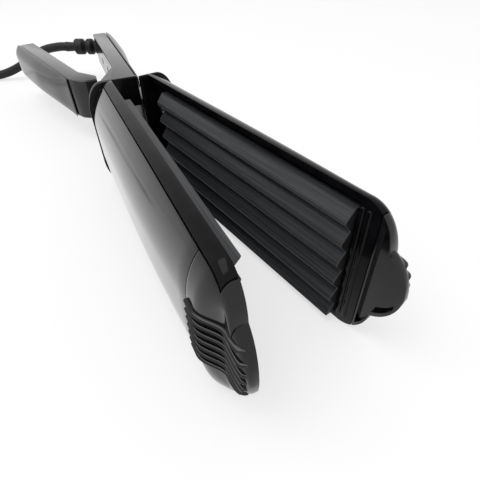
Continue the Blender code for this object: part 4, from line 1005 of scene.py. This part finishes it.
jaw_lead_route = ((0.0083, -0.0440, 0.0231), (0.0088, -0.0475, 0.0231), (0.0088, -0.0520, 0.0231),
                  (0.0087, -0.0620, 0.0226), (0.0085, -0.0665, 0.0214), (0.0061, -0.0704, 0.0192),
                  (0.0059, -0.0760, 0.0181), (0.0059, -0.0810, 0.0180))
spring = add_tube("spring_wire", [arm_matrix("free") @ point for point in spring_points(32)],
                  spring_wire_radius, "steel", 4)
attach(spring, "free", "return_spring")
for arm, route in lead_routes.items():
    line = list(route) + [(jaw_side[arm] * depth, place, height) for depth, place, height in jaw_lead_route]
    points = [arm_matrix(arm) @ point for point in smooth_route(line, 4)]
    attach(add_tube(f"{arm}_arm_wire", points, lead_radius, "rubber", 3), arm, f"{arm}_arm_lead")


# The rest of the CAD parts keep their own shapes; the first word found in a name gives its look

node_looks = (("lens", "amber"), ("bearing_washer", "nylon"), ("heater_clamp", "steel"),
              ("heater_screw", "steel"), ("heater", "nylon"), ("clamp", "steel"), ("screw", "steel"),
              ("insulator", "mica"), ("pin", "steel"), ("washer", "steel"), ("rocker", "gloss"),
              ("tail", "rubber"), ("terminal", "nylon"), ("switch_body", "nylon"), ("lamp", "nylon"))
for name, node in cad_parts.items():
    if node.hide_render:
        continue
    node.data.materials.clear()
    node.data.materials.append(looks[next((look for word, look in node_looks if word in name), "gloss")])
    node.data.shade_smooth()
    node.data.set_sharp_from_angle(angle=math.radians(32))


# Table, surroundings and light

def seen_rays(tree):
    """1 for the rays that show the background: camera, glossy and transmission rays."""
    path = tree.nodes.new("ShaderNodeLightPath")
    either = tree.nodes.new("ShaderNodeMath")
    either.operation = "MAXIMUM"
    any_of = tree.nodes.new("ShaderNodeMath")
    any_of.operation = "MAXIMUM"
    tree.links.new(path.outputs["Is Camera Ray"], either.inputs[0])
    tree.links.new(path.outputs["Is Glossy Ray"], either.inputs[1])
    tree.links.new(either.outputs["Value"], any_of.inputs[0])
    tree.links.new(path.outputs["Is Transmission Ray"], any_of.inputs[1])
    return any_of.outputs["Value"]


def make_table():
    """White table that the camera and reflections see partly as plain white, like the photo's ground."""
    made = bpy.data.materials.new("white_table")
    made.use_nodes = True
    tree = made.node_tree
    shader = tree.nodes["Principled BSDF"]
    place = tree.nodes.new("ShaderNodeTexCoord")
    noise = tree.nodes.new("ShaderNodeTexNoise")
    noise.inputs["Scale"].default_value = 6
    ramp = tree.nodes.new("ShaderNodeValToRGB")
    ramp.color_ramp.elements[0].color = (0.86, 0.86, 0.86, 1)
    ramp.color_ramp.elements[1].color = (0.90, 0.90, 0.90, 1)
    tree.links.new(place.outputs["Object"], noise.inputs["Vector"])
    tree.links.new(noise.outputs["Fac"], ramp.inputs["Fac"])
    tree.links.new(ramp.outputs["Color"], shader.inputs["Base Color"])
    shader.inputs["Roughness"].default_value = 0.5
    shader.inputs["Specular IOR Level"].default_value = 0.2
    white = tree.nodes.new("ShaderNodeEmission")
    white.inputs["Color"].default_value = (1, 1, 1, 1)
    white.inputs["Strength"].default_value = 1.0
    share = tree.nodes.new("ShaderNodeMath")
    share.operation = "MULTIPLY"
    share.inputs[1].default_value = 0.62
    tree.links.new(seen_rays(tree), share.inputs[0])
    blend = tree.nodes.new("ShaderNodeMixShader")
    tree.links.new(share.outputs["Value"], blend.inputs["Fac"])
    tree.links.new(shader.outputs["BSDF"], blend.inputs[1])
    tree.links.new(white.outputs["Emission"], blend.inputs[2])
    tree.links.new(blend.outputs["Shader"], tree.nodes["Material Output"].inputs["Surface"])
    mesh = bmesh.new()
    bmesh.ops.create_grid(mesh, x_segments=1, y_segments=1, size=table_half)
    data = bpy.data.meshes.new("table")
    mesh.to_mesh(data)
    mesh.free()
    data.materials.append(made)
    table = bpy.data.objects.new("table", data)
    bpy.context.scene.collection.objects.link(table)
    table.location = (0, 0, -table_drop)


def make_world():
    """White surroundings: a little dimmer as light than as what the camera and reflections see."""
    world = bpy.data.worlds.new("surroundings")
    bpy.context.scene.world = world
    world.use_nodes = True
    tree = world.node_tree
    tree.nodes.clear()
    output = tree.nodes.new("ShaderNodeOutputWorld")
    seen = tree.nodes.new("ShaderNodeBackground")
    seen.inputs["Color"].default_value = (1, 1, 1, 1)
    seen.inputs["Strength"].default_value = 1.0
    lit = tree.nodes.new("ShaderNodeBackground")
    lit.inputs["Color"].default_value = (1, 1, 1, 1)
    lit.inputs["Strength"].default_value = 0.85
    mix = tree.nodes.new("ShaderNodeMixShader")
    tree.links.new(seen_rays(tree), mix.inputs["Fac"])
    tree.links.new(lit.outputs["Background"], mix.inputs[1])
    tree.links.new(seen.outputs["Background"], mix.inputs[2])
    tree.links.new(mix.outputs["Shader"], output.inputs["Surface"])


def add_light(name, place, target, size, power):
    data = bpy.data.lights.new(name, "AREA")
    data.shape = "RECTANGLE"
    data.size, data.size_y = size
    data.energy = power
    light = bpy.data.objects.new(name, data)
    bpy.context.scene.collection.objects.link(light)
    light.location = place
    light.rotation_mode = "QUATERNION"
    light.rotation_quaternion = (Vector(target) - Vector(place)).to_track_quat("-Z", "Y")


make_table()
make_world()
add_light("overhead", (-0.25, 0.10, 0.75), (0, 0.05, 0), (0.6, 0.6), 3.0)
bpy.context.scene.view_settings.view_transform = "Standard"
